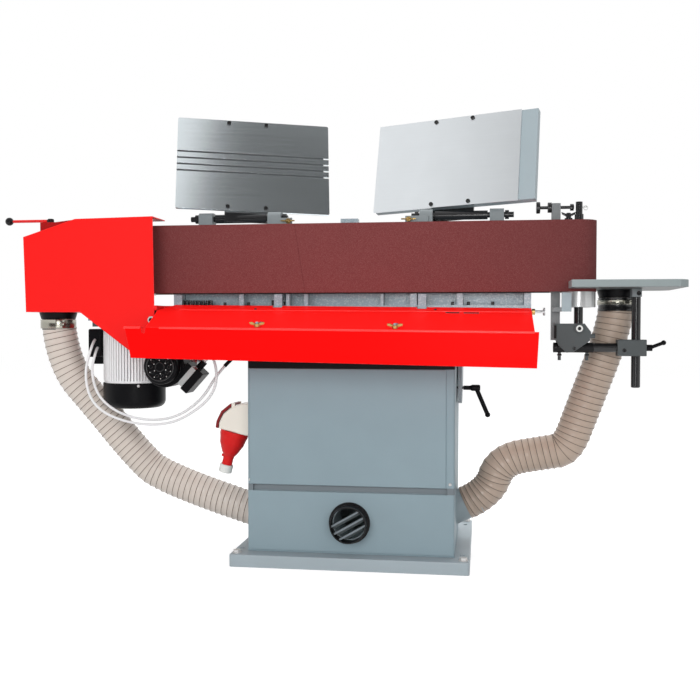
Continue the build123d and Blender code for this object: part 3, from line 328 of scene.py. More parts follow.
@dataclass(frozen=True)
class Finish:
    """Sprayed paint or moulded plastic, and the base of the other finishes."""

    name: str
    color: Color
    roughness: float = 0.4
    metallic: float = 0.0
    mottle: float = 0.10
    mottle_scale: float = 9.0
    peel_scale: float = 420.0
    peel_depth: float = 0.00003
    edge_radius: float = 0.0015
    edge_tint: float = 0.18
    specular: float = 0.3
    anisotropy: float = 0.0
    grain: Point | None = None
    alpha: float = 1.0

    def mottled(self, shader: Shader, shop: EffectShop) -> bpy.types.Node:
        """Place the slow change of the finish's own colour."""
        return shop.place(shader, Effect.MOTTLE, Color=rgba(self.color), Scale=self.mottle_scale, Amount=self.mottle)

    def channels(self, shader: Shader, shop: EffectShop) -> Channels:
        """Lay out the colour, roughness and relief.

        Args:
            shader: The material's nodes.
            shop: The shared effects.

        Returns:
            The sockets that make the finish.
        """
        mottle = self.mottled(shader, shop)
        peel = shop.place(shader, Effect.PEEL, Scale=self.peel_scale)
        rough = shader.math("MULTIPLY", mottle.outputs["Tone"], self.roughness)
        return Channels(mottle.outputs["Color"], rough, self.metallic, peel.outputs["Height"], self.peel_depth)

    def _grain_way(self, shader: Shader) -> Socket:
        """Find the direction of the machining lines.

        Args:
            shader: The material's nodes.

        Returns:
            One way on a flat piece that has a grain, or else the way round the z axis.
        """
        if self.grain is None:
            return shader.add("ShaderNodeTangent", direction_type="RADIAL", axis="Z").outputs[0]
        return shader.add("ShaderNodeVectorTransform", {0: self.grain}, vector_type="VECTOR",
                          convert_from="OBJECT", convert_to="WORLD").outputs[0]

    def material(self, shop: EffectShop) -> bpy.types.Material:
        """Build the material.

        Args:
            shop: The shared effects.

        Returns:
            The finished material.
        """
        made = bpy.data.materials.new(self.name)
        shader = Shader.fresh(made)
        parts = self.channels(shader, shop)
        edge = shop.place(shader, Effect.EDGE, Radius=self.edge_radius)
        worn = shader.math("MULTIPLY", edge.outputs["Wear"], self.edge_tint)
        bump = shader.add("ShaderNodeBump", {"Distance": parts.depth, "Height": parts.height,
                                             "Normal": edge.outputs["Normal"]})
        look = {"Base Color": shader.mix(worn, parts.color, rgba(WHITE)), "Roughness": parts.roughness,
                "Metallic": parts.metallic, "Normal": bump.outputs[0], "Specular IOR Level": self.specular,
                "Alpha": self.alpha}
        if self.anisotropy:
            look |= {"Anisotropic": self.anisotropy, "Anisotropic Rotation": QUARTER_TURN,
                     "Tangent": self._grain_way(shader)}
        surface = shader.add("ShaderNodeBsdfPrincipled", look)
        shader.add("ShaderNodeOutputMaterial", {"Surface": surface.outputs[0]})
        return made


@dataclass(frozen=True)
class BrushedFinish(Finish):
    """Metal with fine machining lines, drawn short across the stretch."""

    metallic: float = 1.0
    stretch: Point = (6.0, 6.0, 900.0)
    line_tone: float = 0.35

    def channels(self, shader: Shader, shop: EffectShop) -> Channels:
        """Lay out the lines in colour, roughness and relief.

        Args:
            shader: The material's nodes.
            shop: The shared effects.

        Returns:
            The sockets that make the finish.
        """
        brush = shop.place(shader, Effect.BRUSH, Stretch=self.stretch)
        lines = shader.math("MULTIPLY", brush.outputs["Tone"], self.line_tone)
        tone = shader.math("ADD", lines, 1.0 - self.line_tone / 2)
        rough = shader.math("MULTIPLY", tone, self.roughness)
        color = shader.tinted(self.mottled(shader, shop).outputs["Color"], tone)
        return Channels(color, rough, self.metallic, brush.outputs["Height"], self.peel_depth)


@dataclass(frozen=True)
class SpeckledFinish(Finish):
    """Small cells with lighter specks: the grain of hammered paint and abrasive, and painted glints on the bearing."""

    speck: Color = (0.5, 0.5, 0.5)
    speck_scale: float = 500.0
    speck_share: float = 0.25

    def channels(self, shader: Shader, shop: EffectShop) -> Channels:
        """Lay out the grains over a mottled colour.

        Args:
            shader: The material's nodes.
            shop: The shared effects.

        Returns:
            The sockets that make the finish.
        """
        mottle = self.mottled(shader, shop)
        specks = shop.place(shader, Effect.SPECKS, Color=mottle.outputs["Color"], Speck=rgba(self.speck),
                            Scale=self.speck_scale, Share=self.speck_share)
        rough = shader.math("MULTIPLY", mottle.outputs["Tone"], self.roughness)
        return Channels(specks.outputs["Color"], rough, self.metallic, specks.outputs["Height"], self.peel_depth)


@dataclass(frozen=True)
class SplitFinish(Finish):
    """Two finishes on one piece, the second one inside any of some boxes of regions."""

    color: Color = (0.0, 0.0, 0.0)
    main: Finish | None = None
    other: Finish | None = None
    regions: tuple[tuple[Region | Core, ...], ...] = ()

    def channels(self, shader: Shader, shop: EffectShop) -> Channels:
        """Lay out both finishes, and share the surface between them.

        Args:
            shader: The material's nodes.
            shop: The shared effects.

        Returns:
            The shared sockets, with the first finish's relief.
        """
        first = self.main.channels(shader, shop)
        second = self.other.channels(shader, shop)
        share: object = 0.0
        for regions in self.regions:
            inside: object = 1.0
            for region in regions:
                inside = shader.math("MULTIPLY", inside, region.mask(shader))
            share = shader.math("MAXIMUM", share, inside)
        color = shader.mix(share, first.color, second.color)
        rough = shader.blend(share, first.roughness, second.roughness)
        metallic = shader.blend(share, first.metallic, second.metallic)
        return Channels(color, rough, metallic, first.height, first.depth)


@dataclass(frozen=True)
class BeltFinish(SpeckledFinish):
    """Abrasive belt: grain outside with a slanted joint and painted shade towards both ends, plain cloth on the inside
    of the loop.
    """

    cloth: Color = (0.30, 0.21, 0.16)
    middle_y: float = -132.0
    squeeze: Point = (0.05, 1.0, 0.0)
    half_length: float = 640.0
    end_painted_shade: float = 0.20
    seam_axis: Point = (1.0, 0.0, 0.1604)
    seam_level: float = -11.9
    seam_half: float = 0.7
    seam_tone: float = 0.62

    def channels(self, shader: Shader, shop: EffectShop) -> Channels:
        """Lay out the grain, and change it for cloth where the surface faces into the loop at rest.

        Args:
            shader: The material's nodes.
            shop: The shared effects.

        Returns:
            The sockets that make the finish.
        """
        grain = super().channels(shader, shop)
        squeezed = shader.vector("MULTIPLY", shader.place(), self.squeeze).outputs[0]
        away = shader.vector("SUBTRACT", squeezed, (0.0, self.middle_y * MM, 0.0)).outputs[0]
        inside = shader.math("LESS_THAN", shader.dot(away, shader.normal()), 0.0)
        # Painted shade: the grain darkens towards both ends, where the belt turns away from the light.
        along = shader.dot(shader.place(), (1.0 / (self.half_length * MM), 0.0, 0.0))
        shade = shader.math("MULTIPLY", shader.math("MULTIPLY", along, along), -self.end_painted_shade)
        off = shader.math("SUBTRACT", shader.dot(shader.place(), self.seam_axis), self.seam_level * MM)
        near = shader.math("LESS_THAN", shader.math("ABSOLUTE", off), self.seam_half * MM)
        seam = shader.math("MULTIPLY", near, Region(FRONT, -self.middle_y).mask(shader))
        tone = shader.blend(seam, shader.math("ADD", shade, 1.0), self.seam_tone)
        grain.color = shader.mix(inside, shader.tinted(grain.color, tone), rgba(self.cloth))
        return grain


GREY_PAINT = Finish("grey_paint", (0.270, 0.355, 0.396), 0.45, specular=0.15)
BASE_PAINT = Finish("base_paint", (0.375, 0.44, 0.475), 0.40)
TABLE_PAINT = Finish("table_paint", (0.275, 0.32, 0.325), 0.38, specular=0.2)
PALE_PAINT = Finish("pale_paint", (0.34, 0.405, 0.435), 0.42)
RED_PAINT = Finish("red_paint", (0.95, 0.010, 0.009), 0.34, mottle=0.04, edge_radius=0.0022, specular=0.22)
# Painted shade: a darker, less glossy copy of the red paint for the apron's front lip.
LIP_SHADED_RED = Finish("lip_shaded_red_paint", (0.94, 0.004, 0.004), 0.34, mottle=0.04, edge_radius=0.0022, specular=0.12)
# Partly painted highlight: the rounded crease and bead catch real light, and their red is also painted lighter than
# the sheet's.
BEAD_HIGHLIGHT_RED = Finish("bead_highlight_red_paint", (0.97, 0.020, 0.018), 0.28, mottle=0.04, specular=0.7)
DARK_RED = Finish("shaded_red", (0.34, 0.005, 0.006), 0.4, specular=0.2)
HAMMERED = SpeckledFinish("hammered_paint", (0.27, 0.335, 0.38), 0.25, peel_depth=0.0004,
                          speck=(0.36, 0.42, 0.46), speck_scale=330.0, specular=0.5)
DARK_GREY = Finish("dark_grey_paint", (0.085, 0.095, 0.098), 0.42, specular=0.14)
YOKE_GREY = Finish("yoke_grey_paint", (0.185, 0.195, 0.20), 0.42, specular=0.2)
BLOCK_GREY = Finish("block_grey_paint", (0.235, 0.26, 0.27), 0.45)
BLACK_STEEL = Finish("black_steel", (0.011, 0.011, 0.012), 0.22, edge_tint=0.05, specular=0.5)
BLACK_PLASTIC = Finish("black_plastic", (0.004, 0.004, 0.005), 0.38, peel_scale=900.0, edge_tint=0.04,
                       specular=0.10)
LEFT_GRAIN = (0.952, 0.307, 0.0)
LEFT_STEEL = BrushedFinish("brushed_left_plate", (0.78, 0.84, 0.87), 0.19, peel_depth=0.00001, anisotropy=0.8,
                           edge_tint=0.1, grain=LEFT_GRAIN, line_tone=0.25)
RIGHT_STEEL = BrushedFinish("satin_right_plate", (0.78, 0.815, 0.84), 0.30, peel_depth=0.00001, anisotropy=0.3,
                            edge_tint=0.1, grain=(0.957, -0.291, 0.0), line_tone=0.06)
DRUM_METAL = BrushedFinish("turned_drum", (0.62, 0.63, 0.63), 0.30, metallic=0.55, stretch=(2.0, 2.0, 700.0),
                           anisotropy=0.5, edge_tint=0.1)
FIN_METAL = BrushedFinish("motor_fins", (0.90, 0.90, 0.91), 0.42, metallic=0.1, stretch=(60.0, 60.0, 60.0),
                          line_tone=0.12)
STEEL = BrushedFinish("machined_steel", (0.55, 0.55, 0.56), 0.32, stretch=(80.0, 80.0, 80.0), line_tone=0.2)
ZINC = BrushedFinish("zinc_plate", (0.66, 0.66, 0.65), 0.34, metallic=0.4, stretch=(90.0, 90.0, 90.0), line_tone=0.15)
CLAMP_STEEL = BrushedFinish("clamp_band_steel", (0.36, 0.35, 0.30), 0.22, metallic=0.9, stretch=(90.0, 90.0, 90.0),
                            line_tone=0.2, edge_tint=0.3)
BRASS = BrushedFinish("brass", (0.50, 0.32, 0.11), 0.32, stretch=(90.0, 90.0, 90.0), line_tone=0.2)
BELT = BeltFinish("abrasive_belt", (0.172, 0.043, 0.043), 0.80, mottle=0.14, mottle_scale=14.0, peel_depth=0.00022,
                  speck=(0.235, 0.073, 0.073), speck_scale=1100.0, speck_share=0.28, edge_tint=0.0, specular=0.15)
GRAPHITE = Finish("graphite_cloth", (0.018, 0.016, 0.016), 0.8, specular=0.15)
CREAM = Finish("cream_plastic", (0.85, 0.815, 0.73), 0.32)
RED_PLASTIC = Finish("red_plastic", (0.70, 0.018, 0.018), 0.30, specular=0.15)
FLAP_RED = Finish("flap_red", (0.22, 0.008, 0.010), 0.32)
GREEN_PLASTIC = Finish("green_plastic", (0.02, 0.30, 0.07), 0.3)
WHITE_PLASTIC = Finish("white_plastic", (0.80, 0.82, 0.79), 0.3)
CABLE_WHITE = Finish("cable_white", (0.82, 0.82, 0.83), 0.45)
HOSE_FILM = Finish("hose_film", (0.83, 0.745, 0.675), 0.24, edge_tint=0.0, alpha=0.74, specular=0.5)
WARM_FILM = Finish("warm_hose_film", (0.55, 0.435, 0.352), 0.24, edge_tint=0.0, alpha=0.80, specular=0.5)
HOSE_WIRE = Finish("hose_wire", (0.15, 0.115, 0.09), 0.45, edge_tint=0.0, specular=0.2)
SLAT_GREY = Finish("slat_grey", (0.20, 0.235, 0.255), 0.5, specular=0.1)
LEAF_GREY = Finish("leaf_grey", (0.085, 0.10, 0.105), 0.5, specular=0.1)
# Painted shade for the groove across the cabinet's front.
CABINET_GROOVE_SHADE = Finish("cabinet_groove_shade", (0.185, 0.215, 0.235), 0.45, specular=0.15)
# Painted shade for the grooves in the left plate.
PLATE_GROOVE_SHADE = Finish("plate_groove_shade", (0.10, 0.11, 0.115), 0.6, specular=0.1)
CAST_PALE = Finish("cast_pale", (0.42, 0.44, 0.44), 0.45)
# Painted glints: the light specks on the bearing steel stand in for glints off its knurled metal.
BEARING_STEEL_GLINTS = SpeckledFinish("bearing_steel_glints", (0.13, 0.125, 0.125), 0.4, speck=(0.50, 0.49, 0.50),
                               speck_scale=190.0, speck_share=0.3, specular=0.2)

PLATE_BACK, PLATE_FRONT = (-0.29281, 0.90654, -0.30404), (0.29281, -0.90654, 0.30404)
PLATE_UP, PLATE_DOWN = (-0.06518, 0.29831, 0.95224), (0.06518, -0.29831, -0.95224)
PLATE_FACE = SplitFinish("left_plate_face", main=LEFT_STEEL, other=PALE_PAINT,
                         regions=((Region(PLATE_BACK, -333.5),),))
# Painted shade: the grooves sunk into the left plate's face are dark grey.
LEFT_PLATE = SplitFinish("left_plate_steel", main=PLATE_FACE, other=PLATE_GROOVE_SHADE, anisotropy=0.8, edge_tint=0.1,
                         edge_radius=0.0005, grain=LEFT_GRAIN,
                         regions=((Region(PLATE_BACK, -339.9), Region(PLATE_FRONT, 336.7),
                                   Region(PLATE_UP, 1076.8), Region(PLATE_DOWN, -1148.5)),))
# Painted shade: the hood rear's front part, ahead of y -137.2, wears the darker shaded red.
HOOD_REAR = SplitFinish("hood_rear_paint_and_shade", main=RED_PAINT, other=DARK_RED,
                        regions=((Region(FRONT, 137.2),),), edge_radius=0.0022, specular=0.22)
CONNECTOR = SplitFinish("connector_shell", main=RED_PLASTIC, other=WHITE_PLASTIC, specular=0.12,
                        regions=((Region((-0.2425, 0, -0.9701), -170.2),),))
LEVER = SplitFinish("lever_rod", main=RED_PLASTIC, other=BLACK_PLASTIC,
                    regions=((Region(LEFT, 1073.0),), (Region(RIGHT, -961.0), Region(UP, 1002.0))))
GEAR_MOTOR = SplitFinish("gear_motor_shell", main=CAST_PALE, other=BLACK_PLASTIC, specular=0.08,
                         regions=((Region(FRONT, 236.5), Region((-0.743, 0, 0.669), 710.2)),
                                  (Region((0.743, 0, -0.669), -693.7),),
                                  (Region((0.669, 0, 0.743), 128.1), Region(FRONT, 236.5))))
YOKE = SplitFinish("yoke_paint", main=YOKE_GREY, other=PALE_PAINT,
                   regions=((Region(FRONT, 201.8), Region(RIGHT, 588.5)),))
CHEEKS = SplitFinish("cheek_paint", main=DARK_GREY, other=BLACK_STEEL, specular=0.14,
                     regions=((Region(BACK, -155.9), Region(FRONT, 127.1), Region(UP, 609.5),
                               Region(DOWN, -638.5)),))
# Painted shade: the apron's front lip, ahead of y -399.2, wears the darker copy of its red.
APRON_RED = SplitFinish("apron_red", main=RED_PAINT, other=LIP_SHADED_RED, regions=((Region(FRONT, 399.2),),))
# Painted shade: in the slots near the crease, x 269 to 363, the walls below the sheet's surface are dark, standing in
# for the shade under the sheet.
APRON = SplitFinish("apron_paint_and_shade", main=APRON_RED, other=GRAPHITE, edge_radius=0.0022, specular=0.02,
                    regions=((Region((-0.01048, 0.30237, -0.95313), -764.14), Region(RIGHT, 269.0),
                              Region(LEFT, -363.0), Region(FRONT, 236.5), Region(BACK, -250.0)),))
PORT = SplitFinish("port_plastic", main=BLACK_PLASTIC, other=SLAT_GREY, specular=0.22,
                   regions=((Region(BACK, -263.2), Region(FRONT, 250.8),
                             Core((0, 0, 125.0), (1.0, 0.0, 1.0), 48.8)),))
# Painted shade: the end table's underside, below z 789.3, is dark grey.
TABLE = SplitFinish("end_table_paint_and_shade", main=TABLE_PAINT, other=DARK_GREY, specular=0.2,
                    regions=((Region(DOWN, -789.3),),))
FRAME_PAINT = SplitFinish("frame_paint", main=HAMMERED, other=STEEL, specular=0.9,
                          regions=((Region(RIGHT, 507.5),),))
# Painted shade: the groove across the cabinet's front, z 211.6 to 230.5, is a darker grey.
CABINET_GREY = SplitFinish("cabinet_grey", main=GREY_PAINT, other=CABINET_GROOVE_SHADE,
                           regions=((Region(FRONT, 228.0), Region(UP, 211.6), Region(DOWN, -230.5)),))
# Painted shadow: the cabinet is black above z 563.2, where the apron's lip casts its shadow on it.
CABINET_PAINT_AND_SHADOW = SplitFinish("cabinet_paint_and_shadow", main=CABINET_GREY, other=BLACK_PLASTIC, specular=0.15,
                            regions=((Region(UP, 563.2),),))
# Painted glints on the bearing's right part, beyond x 296.
BEARING_PAINT = SplitFinish("bearing_paint", main=DARK_GREY, other=BEARING_STEEL_GLINTS, specular=0.2,
                            regions=((Region(RIGHT, 296.0),),))

NODE_FINISHES: dict[str, Finish] = {
    "base_plate": BASE_PAINT, "base_bolts": ZINC, "column_cabinet": CABINET_PAINT_AND_SHADOW, "front_panel": GREY_PAINT,
    "extraction_port": PORT, "dust_manifold": PALE_PAINT, "inlet_housing": CREAM, "inlet_flap": FLAP_RED,
    "power_connector": CONNECTOR, "switch_box": BLACK_PLASTIC, "start_button": GREEN_PLASTIC,
    "stop_button": RED_PLASTIC, "tilt_bearings": BEARING_PAINT, "tilt_clamp_lever": BLACK_PLASTIC, "tilt_shaft": STEEL,
    "tilt_saddles": DARK_GREY, "tilt_sector": PALE_PAINT, "head_frame": FRAME_PAINT, "platen": STEEL,
    "graphite_pad": GRAPHITE, "hood_front": RED_PAINT, "hood_rear": HOOD_REAR,
    "hood_port": BLACK_PLASTIC, "osc_motor": GEAR_MOTOR, "osc_crank": STEEL, "front_apron": APRON,
    "apron_arms": HAMMERED, "left_wing_nut": BRASS, "right_wing_nut": BRASS, "hinge_blocks": BLOCK_GREY,
    "plate_lock_screws": BRASS, "left_plate": LEFT_PLATE, "left_bracket": BLACK_STEEL, "right_plate": RIGHT_STEEL,
    "right_plate_carrier": PALE_PAINT, "right_bracket": BLACK_STEEL, "yoke_bar": YOKE, "yoke_cheeks": CHEEKS,
    "motor_plate": DARK_GREY, "motor_body": FIN_METAL, "motor_fan_cover": BLACK_PLASTIC,
    "motor_terminal_box": BLACK_PLASTIC, "drive_drum": DRUM_METAL, "drive_shaft": STEEL, "tension_lever": LEVER,
    "idler_shaft": BLACK_STEEL, "idler_drum": DRUM_METAL, "idler_bearings": BLACK_STEEL, "tracking_screw": BLACK_STEEL,
    "table_bar": BLACK_STEEL, "clamp_block": DARK_GREY, "table_post": BLACK_STEEL, "end_table": TABLE,
    "table_port": BLACK_PLASTIC, "table_clamp_lever": BLACK_PLASTIC,
}


# Mesh building


class Form:
    """One piece's mesh, gathered from turned, sawn and swept shapes in millimetres."""

    def __init__(self, name: str) -> None:
        """Start an empty mesh for a named piece."""
        self.name = name
        self.mesh = bmesh.new()

    @staticmethod
    def stand(at: Sequence[float], axis: Sequence[float], side: Sequence[float] = RIGHT) -> Matrix:
        """Make the place of a shape.

        Args:
            at: Its origin.
            axis: Where its z axis points.
            side: Roughly where its x axis points.

        Returns:
            The matrix from the shape's own axes to the machine's.
        """
        z = Vector(axis).normalized()
        x = Vector(side) - z * Vector(side).dot(z)
        if x.length < TINY:
            x = z.orthogonal()
        x.normalize()
        matrix = Matrix((x, z.cross(x), z)).transposed().to_4x4()
        matrix.translation = Vector(at)
        return matrix

    def ring(self, points: Iterable[Sequence[float]]) -> list[bmesh.types.BMVert]:
        """Add points to the mesh, in order."""
        return [self.mesh.verts.new(point) for point in points]

    def skin(self, low: list[bmesh.types.BMVert], high: list[bmesh.types.BMVert]) -> None:
        """Join two rings of points, either of which may be a single point.

        Args:
            low: The first ring.
            high: The second ring.
        """
        count = max(len(low), len(high))
        for step in range(count):
            after = (step + 1) % count
            corners = [low[step % len(low)], low[after % len(low)], high[after % len(high)], high[step % len(high)]]
            self.mesh.faces.new(list(dict.fromkeys(corners)))

    def loft(self, rings: list[list[bmesh.types.BMVert]], closed: bool = False) -> None:
        """Join each ring to the next one, and the last to the first where the loft is closed."""
        for low, high in zip(rings, rings[1:] + (rings[:1] if closed else [])):
            self.skin(low, high)

    def turn(self, profile: Profile, place: Matrix, closed: bool = False, steps: int = 40) -> "Form":
        """Turn a profile about the z axis.

        Args:
            profile: Radius and height of each point.
            place: Where the shape stands.
            closed: Whether the profile is a loop, as for a ring.
            steps: Sides of each circle.

        Returns:
            The form itself.
        """
        rings = []
        for radius, height in profile:
            angles = [0.0] if radius < TINY else ring_angles(steps)
            rings.append(self.ring(place @ polar(radius, angle, height) for angle in angles))
        self.loft(rings, closed)
        return self

    def saw(self, outline: Profile, depth: float, place: Matrix, bevel: float = 0.6) -> "Form":
        """Saw a flat outline out of a plate.

        Args:
            outline: Points of the outline.
            depth: Thickness along the z axis.
            place: Where the shape stands.
            bevel: Width of the broken edges.

        Returns:
            The form itself.
        """
        before = set(self.mesh.edges)
        low, high = (self.ring(place @ Vector((x, y, z)) for x, y in outline) for z in (0, depth))
        self.mesh.faces.new(low[::-1])
        self.mesh.faces.new(high)
        self.skin(low, high)
        if bevel:
            edges = [edge for edge in self.mesh.edges if edge not in before]
            bmesh.ops.bevel(self.mesh, geom=edges, offset=bevel, segments=2, affect="EDGES", profile=0.6)
        return self

    def brick(self, low: Point, high: Point, bevel: float = 0.8) -> "Form":
        """Add a block between two corners, with broken edges."""
        (x0, y0, z0), (x1, y1, z1) = low, high
        return self.saw(((x0, y0), (x1, y0), (x1, y1), (x0, y1)), z1 - z0, Matrix.Translation((0, 0, z0)), bevel)

    def sheet(self, width: float, height: float, place: Matrix) -> "Form":
        """Add one flat face.

        Args:
            width: Its size along the x axis.
            height: Its size along the y axis.
            place: Where its middle stands.

        Returns:
            The form itself.
        """
        corners = ((-1, -1), (1, -1), (1, 1), (-1, 1))
        self.mesh.faces.new(self.ring(place @ Vector((x * width / 2, y * height / 2, 0)) for x, y in corners))
        return self

    def sweep(self, points: Sequence[Vector], radius: float, sides: int) -> "Form":
        """Sweep a round section along points, with closed ends.

        Args:
            points: The centre line.
            radius: The section's radius.
            sides: Sides of the section.

        Returns:
            The form itself.
        """
        rings = []
        for point, side, lift in carried_axes(points):
            rings.append(self.ring(point + (side * math.cos(angle) + lift * math.sin(angle)) * radius
                                   for angle in ring_angles(sides)))
        self.loft(rings)
        self.mesh.faces.new(rings[0][::-1])
        self.mesh.faces.new(rings[-1])
        return self

    def make(self, crease: float = CREASE) -> bpy.types.Object:
        """Turn the form into a piece in the scene.

        Args:
            crease: Angle in degrees above which an edge stays crisp.

        Returns:
            The new object, in metres.
        """
        bmesh.ops.recalc_face_normals(self.mesh, faces=self.mesh.faces)
        data = bpy.data.meshes.new(self.name)
        self.mesh.to_mesh(data)
        self.mesh.free()
        data.transform(Matrix.Scale(MM, 4))
        data.shade_smooth()
        data.set_sharp_from_angle(angle=math.radians(crease))
        piece = bpy.data.objects.new(self.name, data)
        bpy.context.scene.collection.objects.link(piece)
        return piece


def carried_axes(points: Sequence[Vector]) -> list[tuple[Vector, Vector, Vector]]:
    """Carry a pair of cross axes along a line without twisting it.

    Args:
        points: The line's points.

    Returns:
        Each point with its two cross axes.
    """
    axes = []
    side = Vector(BACK)
    for index, point in enumerate(points):
        before = points[max(index - 1, 0)]
        after = points[min(index + 1, len(points) - 1)]
        way = (after - before).normalized()
        side = side - way * side.dot(way)
        if side.length < TINY:
            side = way.orthogonal()
        side.normalize()
        axes.append((point, side.copy(), way.cross(side)))
    return axes


@dataclass
class Route:
    """A smooth line through given control points."""

    points: Sequence[Point]
    resolution: int = 40
    order: int = 3
    line: list[Vector] = field(default_factory=list)

    def __post_init__(self) -> None:
        """Read the line from a spline with these control points."""
        curve = bpy.data.curves.new("route", "CURVE")
        curve.dimensions = "3D"
        curve.resolution_u = self.resolution
        spline = curve.splines.new("NURBS")
        spline.points.add(len(self.points) - 1)
        for target, point in zip(spline.points, self.points):
            target.co = (*point, 1.0)
        spline.order_u = self.order
        spline.use_endpoint_u = True
        holder = bpy.data.objects.new("route", curve)
        bpy.context.scene.collection.objects.link(holder)
        bpy.context.view_layer.update()
        mesh = bpy.data.meshes.new_from_object(holder)
        self.line = [vertex.co.copy() for vertex in mesh.vertices]
        bpy.data.objects.remove(holder)
        bpy.data.curves.remove(curve)
        bpy.data.meshes.remove(mesh)

    def length(self) -> float:
        """Return the line's length."""
        return sum((b - a).length for a, b in zip(self.line, self.line[1:]))

    def even(self, step: float) -> list[Vector]:
        """Return points at an even distance along the line.

        Args:
            step: About how far apart the points are.

        Returns:
            The points, with both ends.
        """
        count = max(2, round(self.length() / step))
        gap = self.length() / count
        found = [self.line[0]]
        left = gap
        for a, b in zip(self.line, self.line[1:]):
            run = (b - a).length
            at = 0.0
            while run - at >= left and len(found) < count:
                at += left
                found.append(a.lerp(b, at / run))
                left = gap
            left -= run - at
        return found + [self.line[-1]]


class PaintShop:
    """Holds the materials, and dresses solids and pieces with them."""

    def __init__(self) -> None:
        """Start with the shared effects and no materials."""
        self._effects = EffectShop()
        self._made: dict[str, bpy.types.Material] = {}

    def material(self, finish: Finish) -> bpy.types.Material:
        """Return a finish's material, built the first time it is asked for.

        Args:
            finish: The finish.

        Returns:
            Its one material.
        """
        if finish.name not in self._made:
            self._made[finish.name] = finish.material(self._effects)
        return self._made[finish.name]

    def coat(self, piece: bpy.types.Object, finish: Finish) -> None:
        """Put one finish all over a piece."""
        piece.data.materials.clear()
        piece.data.materials.append(self.material(finish))

    def dress_solids(self) -> None:
        """Give every solid that stays in view its finish."""
        for node, finish in NODE_FINISHES.items():
            self.coat(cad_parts[node], finish)
            LOG.info("solid %s wears %s", node, finish.name)

    def hang(self, form: Form, body: str, finish: Finish, slot: str, crease: float = CREASE) -> bpy.types.Object:
        """Make a rigid piece, finish it and let it ride on a body.

        Args:
            form: The piece's shape, in place.
            body: The body that carries it.
            finish: Its finish.
            slot: The record's material slot; not used.
            crease: Angle in degrees above which its edges stay crisp.

        Returns:
            The new piece.
        """
        piece = form.make(crease)
        self.coat(piece, finish)
        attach(piece, body)
        LOG.info("piece %s rides on %s", piece.name, body)
        return piece

    def bend(self, piece: bpy.types.Object, bodies: tuple[str, str], span: Span, finish: Finish,
             slot: str) -> bpy.types.Object:
        """Finish a piece that runs between two bodies, and bake its place into its mesh.

        Args:
            piece: The new piece, in place.
            bodies: The bodies at its two ends.
            span: Where it would leave the first body's motion and take up the second's; not used.
            finish: Its finish.
            slot: The record's material slot; not used.

        Returns:
            The same piece.
        """
        self.coat(piece, finish)
        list(bodies)
        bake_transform(piece)
        LOG.info("piece %s bends from %s to %s", piece.name, *bodies)
        return piece


# Sub-assemblies


@dataclass(frozen=True)
class HoseTop:
    """The last rings of a hose, made as a stretch of their own that names a further body."""

    rings: int
    body: str
    span: Span


